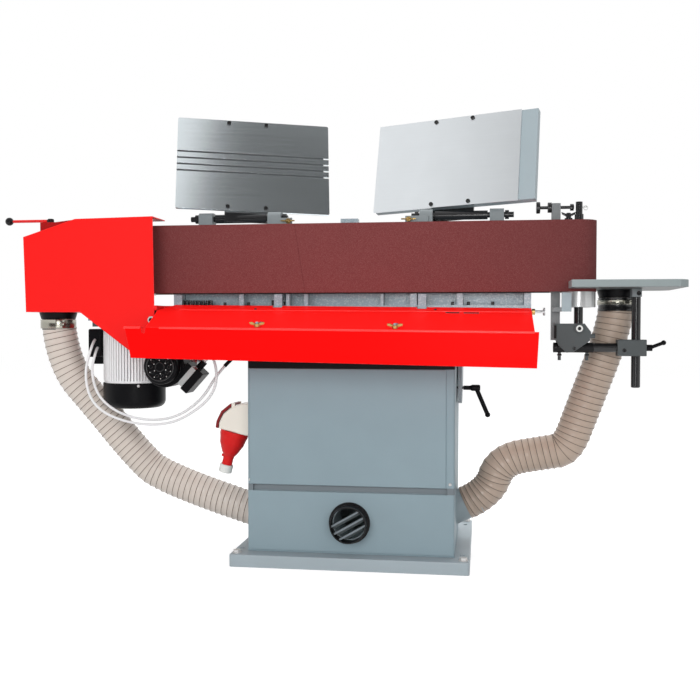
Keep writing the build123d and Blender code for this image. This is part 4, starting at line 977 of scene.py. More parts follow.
@dataclass
class Hose:
    """A clear dust hose with a wire helix, from the column's wall up to its port."""

    shop: PaintShop
    name: str
    node: str
    film: Finish
    route: Sequence[Point]
    length: float
    span: Span
    top: HoseTop | None = None
    crest: float = 50.6
    valley: float = 49.1
    crest_power: float = 0.8
    wall: float = 0.8
    wire: float = 1.0
    wire_sides: int = 7
    wire_steps: int = 3
    pitch: float = 18.0
    rings: int = 8
    sides: int = 56
    mouth_share: float = 0.4

    def radius(self, phase: float) -> float:
        """Return the film's radius at a share of a turn of the helix."""
        swell = (0.5 + 0.5 * math.cos(2 * math.pi * phase)) ** self.crest_power
        return self.valley + (self.crest - self.valley) * swell

    def film_piece(self, name: str, points: Sequence[Vector], first: int) -> bpy.types.Object:
        """Make a stretch of the film, with its wall thickness.

        Args:
            name: The piece's name.
            points: Even points along the stretch, a ring's distance apart.
            first: Ring number of the first point, which sets the helix's place.

        Returns:
            The new piece.
        """
        form = Form(name)
        outer, inner = [], []
        for index, (point, side, lift) in enumerate(carried_axes(points)):
            rim, bore = [], []
            for step in range(self.sides):
                share = step / self.sides
                way = side * math.cos(2 * math.pi * share) + lift * math.sin(2 * math.pi * share)
                radius = self.radius((first + index) / self.rings - share)
                rim += form.ring([point + way * radius])
                bore += form.ring([point + way * (radius - self.wall)])
            outer.append(rim)
            inner.append(bore)
        form.loft(outer + inner[::-1], closed=True)
        return form.make(HOSE_CREASE)

    def wire_piece(self, name: str, points: Sequence[Vector], first: int) -> bpy.types.Object:
        """Make the wire of a stretch, wound on the film's crests.

        Args:
            name: The piece's name.
            points: Even points along the stretch, a ring's distance apart.
            first: Ring number of the first point.

        Returns:
            The new piece.
        """
        axes = carried_axes(points)
        line = []
        for index in range((len(axes) - 1) * self.wire_steps + 1):
            low = min(index // self.wire_steps, len(axes) - 2)
            share = index / self.wire_steps - low
            (p0, s0, l0), (p1, s1, l1) = axes[low], axes[low + 1]
            angle = 2 * math.pi * (first + index / self.wire_steps) / self.rings
            way = (s0.lerp(s1, share) * math.cos(angle) + l0.lerp(l1, share) * math.sin(angle)).normalized()
            line.append(p0.lerp(p1, share) + way * self.crest)
        return Form(name).sweep(line, self.wire, self.wire_sides).make(HOSE_CREASE)

    def stretch(self, name: str, points: Sequence[Vector], first: int, bodies: tuple[str, str],
                span: Span) -> list[bpy.types.Object]:
        """Make a stretch of the film and its wire, finish both and hide the hose's solid.

        Args:
            name: The film's name.
            points: Even points along the stretch, a ring's distance apart.
            first: Ring number of the first point.
            bodies: The bodies at its two ends.
            span: Where it would leave the first body's motion and take up the second's.

        Returns:
            The film and the wire.
        """
        film = self.film_piece(name, points, first)
        wire = self.wire_piece(f"{name}_wire", points, first)
        for piece, finish in ((film, self.film), (wire, HOSE_WIRE)):
            self.shop.bend(piece, bodies, span, finish, "hose_film")
        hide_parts(self.node)
        return [film, wire]

    def build(self, bands: Sequence[bpy.types.Object]) -> None:
        """Args:
            bands: The pieces that hold it on its port.
        """
        points = Route(self.route).even(self.pitch / self.rings)
        split = len(points) - 1 - (self.top.rings if self.top else 0)
        main = points[:split + 1]
        film, wire = self.stretch(self.name, main, 0, ("column", "head"), self.span)
        others = [wire, *bands]
        if self.top:
            others += self.stretch(f"{self.name}_top", points[split:], split, ("head", self.top.body), self.top.span)
        LOG.info("hose %s follows %d rings", self.name, len(points))


@dataclass
class Belt:
    """The sanding belt, a loop round both drums; on the machine it leans with the idler."""

    shop: PaintShop
    drive: Spot = (-680.5, -123.0)
    idler: Spot = (640.0, -141.5)
    drive_radius: float = 67.0
    idler_radius: float = 48.5
    thickness: float = 1.2
    bottom: float = 781.0
    width: float = 200.0
    arc_steps: int = 56
    run_steps: int = 64
    rows: int = 8
    lean: Span = ((300.0, -190.0, 880.0), (590.0, -190.0, 880.0))

    def outline(self, inset: float) -> list[Vector]:
        """Lay the loop round both drums.

        Args:
            inset: Distance in from the abrasive side.

        Returns:
            Points of the loop, in order.
        """
        start, end = Vector(self.drive), Vector(self.idler)
        way = (end - start).normalized()
        front = Vector((0.0, -1.0))
        rear = way * (2 * way.dot(front)) - front
        turn = math.atan2(rear.y, rear.x)
        arcs = []
        for centre, radius, first, last in (
                (start, self.drive_radius - inset, turn, 1.5 * math.pi),
                (end, self.idler_radius - inset, -0.5 * math.pi, turn)):
            angles = [first + (last - first) * step / self.arc_steps for step in range(self.arc_steps + 1)]
            arcs.append([centre + Vector((math.cos(angle), math.sin(angle))) * radius for angle in angles])
        loop = []
        for arc, after in (arcs, arcs[::-1]):
            loop += arc
            loop += [arc[-1].lerp(after[0], step / self.run_steps) for step in range(1, self.run_steps)]
        return loop

    def build(self) -> None:
        """Make the loop, and hide the solid belt."""
        form = Form("belt_loop")
        outer, inner = [], []
        for layer, inset in ((outer, 0.0), (inner, self.thickness)):
            outline = self.outline(inset)
            for row in range(self.rows + 1):
                height = self.bottom + self.width * row / self.rows
                layer.append(form.ring((x, y, height) for x, y in outline))
        form.loft(outer + inner[::-1], closed=True)
        piece = self.shop.bend(form.make(), ("head", "idler_carrier"), self.lean, BELT, "belt_cloth")
        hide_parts("sanding_belt")


@dataclass
class Cable:
    """A white supply cable between the head and the sliding drive unit."""

    shop: PaintShop
    name: str
    route: Sequence[Point]
    length: float
    bodies: tuple[str, str]
    span: Span
    sleeve: Spot | None = None
    sleeve_wall: float = 1.6
    radius: float = 3.8
    sides: int = 14
    step: float = 4.0

    def swept(self, name: str, points: Sequence[Vector], radius: float, finish: Finish, slot: str) -> bpy.types.Object:
        """Sweep a stretch of the cable or its sleeve between both bodies."""
        piece = Form(name).sweep(points, radius, self.sides).make(SWEPT_CREASE)
        return self.shop.bend(piece, self.bodies, self.span, finish, slot)

    def build(self) -> None:
        points = Route(self.route).even(self.step)
        if self.sleeve:
            low, high = (round(share * (len(points) - 1)) for share in self.sleeve)
            self.swept(f"{self.name}_sleeve", points[low:high + 1], self.radius + self.sleeve_wall,
                                     BLACK_PLASTIC, "black_plastic")
        piece = self.swept(self.name, points, self.radius, CABLE_WHITE, "white_cable")
        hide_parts(self.name)
        LOG.info("cable %s follows %d points", self.name, len(points))


@dataclass
class Fasteners:
    """Screws, nuts, washers and bands that are used all over the machine."""

    shop: PaintShop
    screw_steps: int = 24
    socket_share: float = 0.52
    socket_floor: float = 0.35
    socket_lip: float = 0.2
    head_chamfer: float = 0.5
    pan: Profile = ((0, 0.42), (0.22, 0.42), (0.3, 0.62), (0.7, 0.5), (0.95, 0.25), (1, 0), (0, 0))
    nut_bevel: float = 0.7
    washer_edge: float = 0.3
    band_steps: int = 64
    band_wall: float = 1.0
    band_bead: float = 1.6
    band_lip: float = 0.9
    worm_box: Point = (9.0, 20.0, 11.0)
    worm_box_bevel: float = 1.2
    worm_screw: Profile = ((0, 0), (4.2, 0), (4.2, 5), (3.4, 6), (0, 6))
    worm_screw_at: Spot = (5.0, 8.0)
    cuff_ridges: Profile = ((0.0, 2.4), (0.2, 2.4), (0.24, 1.2), (0.42, 1.2), (0.46, 2.6), (0.7, 2.6), (0.74, 1.2),
                            (0.92, 1.2), (0.95, 2.0), (1.0, 2.0))

    def cap_screw(self, form: Form, at: Sequence[float], axis: Sequence[float], radius: float,
                  head: float) -> None:
        """Add a socket-head screw to a form.

        Args:
            form: The form that takes it.
            at: The middle of the face that it sits on.
            axis: Where its head points.
            radius: The head's radius.
            head: The head's height.
        """
        bore, floor = radius * self.socket_share, head * self.socket_floor
        profile = [(0, floor), (bore, floor), (bore, head - self.socket_lip), (bore + self.socket_lip, head),
                   (radius - self.head_chamfer, head), (radius, head - self.head_chamfer), (radius, 0), (0, 0)]
        form.turn(profile, Form.stand(at, axis), steps=self.screw_steps)

    def pan_screw(self, form: Form, at: Sequence[float], axis: Sequence[float], radius: float) -> None:
        """Add a rounded screw head with a dimple to a form."""
        profile = [(out * radius, height * radius) for out, height in self.pan]
        form.turn(profile, Form.stand(at, axis), steps=self.screw_steps)

    def hex_nut(self, form: Form, at: Point, axis: Point, across: float, height: float) -> None:
        """Add a hexagon nut to a form."""
        outline = [polar(across / math.sqrt(3), angle).xy for angle in ring_angles(6)]
        form.saw(outline, height, Form.stand(at, axis, UP), self.nut_bevel)

    def washer(self, form: Form, at: Point, axis: Point, size: Point) -> None:
        """Add a flat washer to a form.

        Args:
            form: The form that takes it.
            at: The middle of the face that it lies on.
            axis: Where it faces.
            size: Its outer radius, inner radius and height.
        """
        outer, inner, height = size
        edge = self.washer_edge
        profile = [(inner, 0), (outer, 0), (outer, height - edge), (outer - edge, height), (inner, height)]
        form.turn(profile, Form.stand(at, axis), closed=True)

    def band_clamp(self, name: str, at: Point, radius: float, width: float, facing: float,
                   body: str) -> bpy.types.Object:
        """Make a hose band with its worm screw.

        Args:
            name: The piece's name.
            at: The middle of the band.
            radius: The hose's radius under it.
            width: The band's width.
            facing: Angle of the screw round the hose, from +X, in degrees.
            body: The body that carries it.

        Returns:
            The new piece.
        """
        form = Form(name)
        half, lip = width / 2, self.band_lip
        wall, bead = radius + self.band_wall, radius + self.band_bead
        band = [(radius, -half), (wall, -half), (bead, -half + lip), (wall, -half + 2 * lip),
                (wall, half - 2 * lip), (bead, half - lip), (wall, half), (radius, half)]
        form.turn(band, Form.stand(at, UP), closed=True, steps=self.band_steps)
        out = polar(1.0, math.radians(facing))
        along = Vector((-out.y, out.x, 0))
        centre = Vector(at) + out * wall
        deep, length, back = self.worm_box
        box = Form.stand(centre - along * back, along, out)
        edge = half - self.band_wall
        form.saw(((0, -edge), (deep, -edge), (deep, edge), (0, edge)), length, box, self.worm_box_bevel)
        screw_out, screw_along = self.worm_screw_at
        screw = Form.stand(centre + out * screw_out + along * screw_along, along)
        form.turn(self.worm_screw, screw, steps=self.screw_steps)
        return self.shop.hang(form, body, CLAMP_STEEL, "zinc")

    def cuff(self, name: str, at: Point, radius: float, height: float, body: str) -> bpy.types.Object:
        """Make a ridged black cuff round a hose's end.

        Args:
            name: The piece's name.
            at: The middle of its lower rim.
            radius: The hose's radius under it.
            height: The cuff's height.
            body: The body that carries it.

        Returns:
            The new piece.
        """
        ridges = [(radius + out, share * height) for share, out in self.cuff_ridges]
        profile = [(radius, 0.0), *ridges, (radius, height)]
        form = Form(name).turn(profile, Form.stand(at, UP), closed=True, steps=self.band_steps)
        return self.shop.hang(form, body, BLACK_STEEL, "black_plastic")


@dataclass
class Assembly:
    """What every sub-assembly of small pieces works with."""

    shop: PaintShop
    parts: Fasteners


@dataclass
class Column(Assembly):
    """Small pieces on the base and the cabinet."""

    front: float = -237.05
    screw_places: tuple[Spot, ...] = ((284.0, 241.0), (-289.0, 242.0))
    screw_radius: float = 4.6
    bolt_x: float = 322.0
    bolt_y: float = 262.0
    base_top: float = 35.0
    bolt_washer: Point = (13.0, 11.2, 2.0)
    port: Point = (0.0, -257.0, 125.0)
    port_bore: float = 46.0
    slats: tuple[float, ...] = (-25.0, -4.0, 18.0)
    slat_turn: float = 30.0
    leaf: Profile = ((-2.4, 5.6), (-9.6, 0.0), (-9.2, -1.2), (-2.4, 4.0))
    leaf_gap: float = 0.5

    def _louvres(self) -> None:
        """Make the leaf that leans back under each slat of the port."""
        form = Form("port_leaves")
        turn = math.radians(self.slat_turn)
        along = Vector((math.cos(turn), 0, math.sin(turn)))
        rise = Vector((-along.z, 0, along.x))
        for shift in self.slats:
            reach = max(abs(shift), abs(shift + self.leaf[1][0]))
            half = math.sqrt(self.port_bore ** 2 - reach ** 2) - self.leaf_gap
            at = Vector(self.port) + rise * shift - along * half
            form.saw(self.leaf, 2 * half, Form.stand(at, along, rise), 0.0)
        self.shop.hang(form, "column", LEAF_GREY, "black_plastic")

    def build(self) -> None:
        """Make the port's leaves, the panel screws and the washers under the levelling bolts."""
        self._louvres()
        screws = Form("panel_screws")
        for x, z in self.screw_places:
            self.parts.pan_screw(screws, (x, self.front, z), FRONT, self.screw_radius)
        self.shop.hang(screws, "column", ZINC, "zinc")
        washers = Form("base_washers")
        for x in (-self.bolt_x, self.bolt_x):
            for y in (-self.bolt_y, self.bolt_y):
                self.parts.washer(washers, (x, y, self.base_top), UP, self.bolt_washer)
        self.shop.hang(washers, "column", ZINC, "zinc")


@dataclass
class Head(Assembly):
    """Small pieces on the hood and the frame."""

    hood_bolt: Point = (-581.0, -247.0, 702.0)
    hood_bolt_head: Spot = (5.5, 5.0)
    hood_washer: Point = (10.5, 5.6, 1.8)
    flange_top: float = 744.0
    row_y: float = -169.0
    row_x: tuple[float, ...] = (-524.0, -511.0, -499.0, -487.0, -474.0, -462.0, -449.0, -436.0, -425.0, -236.0)
    row_head: Spot = (5.4, 16.0)
    bolt_x: tuple[float, ...] = (-382.0, -310.0, -205.0, 287.0, 332.0, 400.0)
    bolt_head: Spot = (4.6, 10.0)
    rod_end: Point = (509.0, -170.0, 725.0)
    rod_nut: Spot = (15.0, 9.0)

    def build(self) -> None:
        """Make the hood's bolt, the rows of screws on the frame and the brass nut of the stop rod."""
        washer = Form("hood_washer")
        self.parts.washer(washer, self.hood_bolt, FRONT, self.hood_washer)
        self.shop.hang(washer, "head", ZINC, "zinc")
        bolt = Form("hood_bolt")
        self.parts.cap_screw(bolt, self.hood_bolt, FRONT, *self.hood_bolt_head)
        self.shop.hang(bolt, "head", BLACK_STEEL, "black_steel")
        row = Form("frame_screws")
        for places, size in ((self.row_x, self.row_head), (self.bolt_x, self.bolt_head)):
            for x in places:
                self.parts.cap_screw(row, (x, self.row_y, self.flange_top), UP, *size)
        self.shop.hang(row, "head", BLACK_STEEL, "black_steel")
        nut = Form("stop_rod_nut")
        self.parts.hex_nut(nut, self.rod_end, RIGHT, *self.rod_nut)
        self.shop.hang(nut, "head", BRASS, "brass")


@dataclass
class Apron(Assembly):
    """Beads and small screws on the sloping apron."""

    slope: float = 17.6
    turn: float = 0.63
    pivot: Spot = (-42.0, 708.0)
    rear: Spot = (-194.0, 741.0)
    length: float = 216.0
    creases: tuple[Spot, ...] = ((-603.0, -557.0), (-502.0, 505.0))
    crease_radius: float = 3.2
    crease_inset: float = 1.2
    crease_rise: float = 0.9
    crease_sides: int = 20
    bead: tuple[Spot, Spot] = ((-497.0, 51.0), (500.0, 40.0))
    bead_radius: float = 1.3
    bead_rise: float = 0.2
    bead_sides: int = 14
    marks: tuple[Spot, ...] = ((240.0, 25.0), (-275.0, 36.0))
    mark_radius: float = 4.0

    def place(self, x: float, along: float, above: float) -> Vector:
        """Find a point on the apron.

        Args:
            x: Distance along the crease from the machine's middle.
            along: Distance down the slope from the rear edge.
            above: Distance out of the sheet.

        Returns:
            The point in the machine's axes.
        """
        tilt = Matrix.Rotation(math.radians(self.slope), 4, "X")
        hung = Matrix.Translation((0, *self.rear)) @ tilt @ Vector((x, -along, above))
        pivot = Vector((self.pivot[0], 0, self.pivot[1]))
        return pivot + Matrix.Rotation(math.radians(self.turn), 3, "Y") @ (hung - pivot)

    def build(self) -> None:
        """Make the rolled crease, the bead across the sheet and the two screws."""
        crease = Form("apron_crease")
        along, above = self.length - self.crease_inset, self.crease_rise - self.crease_radius
        for ends in self.creases:
            crease.sweep([self.place(x, along, above) for x in ends], self.crease_radius, self.crease_sides)
        # The crease and the bead wear the lighter red, a painted highlight.
        self.shop.hang(crease, "apron", BEAD_HIGHLIGHT_RED, "red_paint", SWEPT_CREASE)
        line = [self.place(x, along, self.bead_rise) for x, along in self.bead]
        bead = Form("apron_bead").sweep(line, self.bead_radius, self.bead_sides)
        self.shop.hang(bead, "apron", BEAD_HIGHLIGHT_RED, "red_paint", SWEPT_CREASE)
        screws = Form("apron_screws")
        out = self.place(0, 0, 1) - self.place(0, 0, 0)
        for x, along in self.marks:
            self.parts.pan_screw(screws, self.place(x, along, 0), out, self.mark_radius)
        self.shop.hang(screws, "apron", BLACK_STEEL, "black_steel")


@dataclass
class GearMotor(Assembly):
    """Vent ring of the oscillation gear motor."""

    cowl: Point = (-525.6, -330.0, 569.0)
    rim: Profile = ((37, 0), (41, 0), (41, 1.4), (40, 2.2), (38, 2.2), (37, 1.4))
    rim_steps: int = 64
    hub: Profile = ((11, 0), (14, 0), (14, 1.4), (11, 1.4))
    eye: Profile = ((3.2, 0), (5.2, 0), (4.8, 1.1), (3.8, 1.1))
    eye_steps: int = 20
    eyes: int = 10
    eye_reach: float = 26.0
    glint_dot: Profile = ((1.6, 0), (1.3, 0.6), (0, 0.9))
    glint_dot_steps: int = 14
    glint_dot_sink: float = 0.1
    glint_dots: tuple[tuple[int, float, float], ...] = ((11, 33.0, 0.2), (6, 19.0, 0.6))

    def build(self) -> None:
        """Make the fan grille on the cowl, with small bright zinc dots that are painted glints."""
        place = Form.stand(self.cowl, FRONT)
        grille = Form("vent_ring").turn(self.rim, place, closed=True, steps=self.rim_steps)
        grille.turn(self.hub, place, closed=True)
        for angle in ring_angles(self.eyes):
            eye = Form.stand(place @ polar(self.eye_reach, angle), FRONT)
            grille.turn(self.eye, eye, closed=True, steps=self.eye_steps)
        self.shop.hang(grille, "head", BLACK_STEEL, "black_plastic")
        # Painted glints: small zinc dots on the cowl stand in for its bright reflections.
        glint_dots = Form("vent_glint_dots")
        for count, reach, start in self.glint_dots:
            for angle in ring_angles(count, start):
                foot = place @ polar(reach, angle, -self.glint_dot_sink)
                glint_dots.turn(self.glint_dot, Form.stand(foot, FRONT), steps=self.glint_dot_steps)
        self.shop.hang(glint_dots, "head", ZINC, "zinc")


@dataclass
class DriveMotor(Assembly):
    """Small pieces on the belt motor."""

    at: Point = (-680.5, -123.0, 506.0)
    screw_reach: float = 92.8
    screw_turns: tuple[float, ...] = (-62.0, 28.0, 118.0, 208.0)
    screw_radius: float = 4.4

    def build(self) -> None:
        """Make the fan cover's screws."""
        screws = Form("fan_cover_screws")
        for turn in self.screw_turns:
            way = polar(1.0, math.radians(turn))
            self.parts.pan_screw(screws, Vector(self.at) + way * self.screw_reach, way, self.screw_radius)
        self.shop.hang(screws, "drive_unit", ZINC, "zinc")


@dataclass
class Plate(Assembly):
    """Screws of one swing-up plate."""

    body: str
    at: Point
    yaw: float
    lean: float
    roll: float
    columns: Spot
    rows: Spot
    screw_head: Spot = (6.2, 3.4)

    def place(self, x: float, y: float) -> tuple[Vector, Vector]:
        """Find a point on the plate's front face.

        Args:
            x: Distance along the plate from its middle.
            y: Distance up the plate from its lower edge.

        Returns:
            The point, and the direction that the face looks in.
        """
        yaw, lean, roll = (math.radians(value) for value in (self.yaw, self.lean, self.roll))
        back = Vector((-math.sin(yaw), math.cos(yaw), 0))
        along = polar(1.0, yaw)
        up = Vector((0, 0, math.cos(lean))) + back * math.sin(lean)
        x_way = along * math.cos(roll) + up * math.sin(roll)
        y_way = up * math.cos(roll) - along * math.sin(roll)
        return Vector(self.at) + x_way * x + y_way * y, x_way.cross(y_way)

    def build(self) -> None:
        """Make the four screws that hold the plate on its straps."""
        form = Form(f"{self.body}_screws")
        for x in self.columns:
            for y in self.rows:
                self.parts.cap_screw(form, *self.place(x, y), *self.screw_head)
        self.shop.hang(form, self.body, BLACK_STEEL, "black_steel")


@dataclass
class IdlerEnd(Assembly):
    """Small pieces round the idler drum and the end table."""

    lock_at: Point = (611.0, -141.5, 980.3)
    lock_foot: Profile = ((0, 0), (11, 0), (11, 9), (7, 11), (6, 24), (0, 24))
    lock_steps: int = 32
    lock_wing: Profile = ((4, 12), (18, 20), (20, 27), (10, 23), (4, 21))
    wing_depth: float = 4.0
    track_at: Point = (615.0, -141.5, 1020.0)
    track_nut: Spot = (17.0, 10.0)
    pin_at: Point = (636.0, -141.5, 1021.0)
    pin: Profile = ((0, 0), (2.2, 0), (2.2, 26), (0, 26))
    pin_steps: int = 16
    clip_at: Point = (658.0, -141.5, 1018.0)
    clip_axis: Point = (0.2, -1, 0)
    clip_radius: float = 6.0
    clip_wire: float = 0.9
    clip_sides: int = 8
    clip_steps: int = 32
    pivot_at: Point = (640.0, -175.5, 678.0)
    pivot_washer: Point = (9.5, 5.2, 1.6)
    pivot_head: Spot = (5.0, 1.2)
    cheek_screw: Point = (627.0, -167.5, 622.0)
    cheek_head: Spot = (5.0, 1.4)
    yoke_nuts: tuple[Point, ...] = ((588.0, -141.5, 601.0), (664.0, -141.5, 601.0))
    yoke_nut: Spot = (11.5, 5.0)
    block_screw: Point = (764.0, -163.6, 617.0)
    block_head: Spot = (5.4, 1.4)
    strip: Span = ((571.0, -169.6, 650.0), (578.0, -167.4, 687.0))
    shoe: Span = ((783.4, -166.3, 766.4), (809.6, -121.9, 788.95))
    shoe_bevel: float = 1.4
    shoe_screw: Point = (801.0, -166.2, 776.0)
    shoe_head: Spot = (6.0, 3.0)

    def build(self) -> None:
        """Make the idler's small pieces, from the lock at its top down to the table's shoe."""
        self._lock_star()
        self._track_nut()
        self._ring_clip()
        self._pivot_ring()
        self._set_screws()
        self._bracket()

    def _lock_star(self) -> None:
        """Make the winged lock on the idler's top bearing."""
        form = Form("idler_lock").turn(self.lock_foot, Form.stand(self.lock_at, UP), steps=self.lock_steps)
        place = Form.stand(Vector(self.lock_at) + Vector(BACK) * self.wing_depth / 2, FRONT)
        for side in (-1, 1):
            form.saw([(side * x, z) for x, z in self.lock_wing], self.wing_depth, place, 0.8)
        self.shop.hang(form, "idler_carrier", BLACK_STEEL, "black_steel")

    def _track_nut(self) -> None:
        """Make the lock nut on the tracking screw, close to the idler's shaft."""
        form = Form("tracking_nut")
        self.parts.hex_nut(form, self.track_at, RIGHT, *self.track_nut)
        self.shop.hang(form, "tracking_screw", BLACK_STEEL, "black_steel")

    def _ring_clip(self) -> None:
        """Make the pin and its ring through the idler shaft's top."""
        form = Form("idler_clip").turn(self.pin, Form.stand(self.pin_at, RIGHT), steps=self.pin_steps)
        section = [polar(self.clip_wire, angle) for angle in ring_angles(self.clip_sides)]
        ring = [(self.clip_radius + point.x, point.y) for point in section]
        form.turn(ring, Form.stand(self.clip_at, self.clip_axis), closed=True, steps=self.clip_steps)
        self.shop.hang(form, "idler_carrier", ZINC, "zinc")

    def _pivot_ring(self) -> None:
        """Make the bright washer round the tracking pivot, and its screw."""
        washer = Form("pivot_washer")
        self.parts.washer(washer, self.pivot_at, FRONT, self.pivot_washer)
        self.shop.hang(washer, "head", WHITE_PLASTIC, "zinc")
        screw = Form("pivot_screw")
        self.parts.cap_screw(screw, self.pivot_at, FRONT, *self.pivot_head)
        self.shop.hang(screw, "head", BLACK_STEEL, "black_steel")

    def _set_screws(self) -> None:
        """Make the set screws of the cheeks and the clamp block, and the yoke's strip."""
        form = Form("yoke_screws")
        self.parts.cap_screw(form, self.cheek_screw, FRONT, *self.cheek_head)
        for at in self.yoke_nuts:
            self.parts.hex_nut(form, at, UP, *self.yoke_nut)
        self.parts.cap_screw(form, self.block_screw, FRONT, *self.block_head)
        self.shop.hang(form, "head", BLACK_STEEL, "black_steel")
        self.shop.hang(Form("yoke_strip").brick(*self.strip), "head", GRAPHITE, "black_steel")

    def _bracket(self) -> None:
        """Make the grey shoe that holds the table on its post."""
        shoe = Form("post_shoe").brick(*self.shoe, self.shoe_bevel)
        self.shop.hang(shoe, "end_table", BLOCK_GREY, "cast_grey")
        screw = Form("post_shoe_screw")
        self.parts.cap_screw(screw, self.shoe_screw, FRONT, *self.shoe_head)
        self.shop.hang(screw, "end_table", BLACK_STEEL, "black_steel")


# Studio


@dataclass(frozen=True)
class Lamp:
    """One soft box of light."""

    name: str
    at: Point
    aim: Point
    power: float
    size: float

    def hang(self) -> None:
        """Hang the lamp and aim it, out of sight of reflections."""
        data = bpy.data.lights.new(self.name, "AREA")
        data.energy = self.power
        data.size = self.size
        holder = bpy.data.objects.new(self.name, data)
        holder.location = metres(self.at)
        holder.rotation_mode = "QUATERNION"
        holder.rotation_quaternion = (metres(self.aim) - metres(self.at)).to_track_quat("-Z", "Y")
        holder.visible_glossy = False
        bpy.context.scene.collection.objects.link(holder)


@dataclass(frozen=True)
class Card:
    """A dark or bright card that is only seen in reflections."""

    name: str
    at: Point
    axis: Point
    width: float
    height: float
    shade: float

    def hang(self) -> None:
        """Hang the card where only reflections see it."""
        piece = Form(self.name).sheet(self.width, self.height, Form.stand(self.at, self.axis)).make()
        made = bpy.data.materials.new(self.name)
        shader = Shader.fresh(made)
        glow = shader.add("ShaderNodeEmission", {"Strength": self.shade})
        shader.add("ShaderNodeOutputMaterial", {"Surface": glow.outputs[0]})
        piece.data.materials.append(made)
        piece.visible_camera = False
        piece.visible_diffuse = False
        piece.visible_shadow = False
        piece.visible_transmission = False


@dataclass
class Studio:
    """Pale floor, soft light and the camera at the photograph's view."""

    eye: Point = (373.588, -2816.013, 687.117)
    yaw: float = -0.1434
    pitch: float = -0.027
    roll: float = 0.0007
    lens: float = 47.40
    sensor: float = 36.0
    ambient: float = 0.50
    floor_glow: float = 0.72
    floor_color: float = 0.55
    floor_side: float = 28000.0
    floor_z: float = -0.4
    lamps: tuple[Lamp, ...] = (
        Lamp("key_light", (-1300, -4300, 1500), (0, -150, 700), 72.0, 2.4),
        Lamp("fill_light", (1900, -4300, 1000), (0, -150, 600), 44.0, 2.4),
        Lamp("top_light", (300, 300, 3900), (0, -100, 700), 95.0, 3.0),
        Lamp("back_light", (600, 3600, 2400), (0, 0, 700), 50.0, 2.6),
    )
    cards: tuple[Card, ...] = (
        Card("front_card", (0, -4800, 900), BACK, 9000, 3800, 0.05),
        Card("side_card", (2500, -3300, 4300), (-0.45, 0.55, -0.7), 3900, 2600, 0.06),
        Card("upper_card", (-1250, -4300, 4850), (0.1, 0.7, -0.6), 2600, 2000, 0.30),
        Card("flash_card", (530, -2900, 930), BACK, 560, 360, 12.0),
        Card("strip_card", (400, -2950, 350), BACK, 420, 1700, 5.0),
    )

    def build(self) -> None:
        """Set up the view transform, world, floor, cards, lamps and camera."""
        bpy.context.scene.view_settings.view_transform = "Standard"
        self._world()
        self._floor()
        for fixture in (*self.cards, *self.lamps):
            fixture.hang()
        self._camera()

    @staticmethod
    def _seen(shader: Shader) -> Socket:
        """Tell the rays that show the background itself from those that light the machine.

        Args:
            shader: The nodes of the floor or the world.

        Returns:
            A socket with 1 for camera, glossy and transmission rays.
        """
        path = shader.add("ShaderNodeLightPath")
        share = shader.math("MAXIMUM", path.outputs["Is Camera Ray"], path.outputs["Is Glossy Ray"])
        return shader.math("MAXIMUM", share, path.outputs["Is Transmission Ray"])

    def _world(self) -> None:
        """Make a white world that lights the machine more softly than it looks."""
        world = bpy.data.worlds.new("studio")
        shader = Shader.fresh(world)
        strength = shader.blend(self._seen(shader), self.ambient, 1.0)
        back = shader.add("ShaderNodeBackground", {"Color": rgba(WHITE), "Strength": strength})
        shader.add("ShaderNodeOutputWorld", {"Surface": back.outputs[0]})
        bpy.context.scene.world = world

    def _floor(self) -> None:
        """Lay a pale floor that keeps the machine's shadow."""
        place = Matrix.Translation((0, 0, self.floor_z))
        floor = Form("floor").sheet(self.floor_side, self.floor_side, place).make()
        made = bpy.data.materials.new("floor_white")
        shader = Shader.fresh(made)
        matte = shader.add("ShaderNodeBsdfDiffuse", {"Color": rgba((self.floor_color,) * 3)})
        strength = shader.math("MULTIPLY", self._seen(shader), self.floor_glow)
        glow = shader.add("ShaderNodeEmission", {"Strength": strength})
        both = shader.add("ShaderNodeAddShader", {0: matte.outputs[0], 1: glow.outputs[0]})
        shader.add("ShaderNodeOutputMaterial", {"Surface": both.outputs[0]})
        floor.data.materials.append(made)

    def _camera(self) -> None:
        """Put the camera where the photograph was taken."""
        ahead = Vector((math.sin(self.yaw) * math.cos(self.pitch), math.cos(self.yaw) * math.cos(self.pitch),
                        math.sin(self.pitch)))
        right = Vector((math.cos(self.yaw), -math.sin(self.yaw), 0))
        up = right.cross(ahead)
        across = right * math.cos(self.roll) + up * math.sin(self.roll)
        upward = up * math.cos(self.roll) - right * math.sin(self.roll)
        data = bpy.data.cameras.new("camera")
        data.lens = self.lens
        data.sensor_width = self.sensor
        holder = bpy.data.objects.new("camera", data)
        matrix = Matrix((across, upward, -ahead)).transposed().to_4x4()
        matrix.translation = metres(self.eye)
        holder.matrix_world = matrix
        bpy.context.scene.collection.objects.link(holder)
        bpy.context.scene.camera = holder


LEFT_HOSE_ROUTE = ((-319.95, -43, 115.02), (-615, -50, 205), (-700, -66, 290), (-800, -92, 424), (-912, -130, 570),
                   (-919, -137, 705))
LEFT_HOSE_SPAN = ((-400, -50, 140), (-890, -125, 560))
RIGHT_HOSE_ROUTE = ((324.19, -20, 150.68), (394.88, -20, 183.64), (425, -31, 285), (562, -40, 311), (620, -44, 322),
                    (661, -49, 435), (757, -60, 700), (757, -60, 767))
RIGHT_HOSE_SPAN = ((400, -20, 185), (680, -50, 520))
TABLE_HOSE_TOP = HoseTop(57, "end_table", ((737, -57, 650), (757, -60, 745)))
MOTOR_CABLE_ROUTE = ((-780, -168.2, 618), (-758, -228, 616), (-772, -238, 545), (-742, -238, 462), (-650, -238, 412),
                     (-528, -238, 408), (-434, -238, 466), (-386, -234, 548), (-334, -206, 606), (-302, -160, 632),
                     (-302, -160, 689.7))
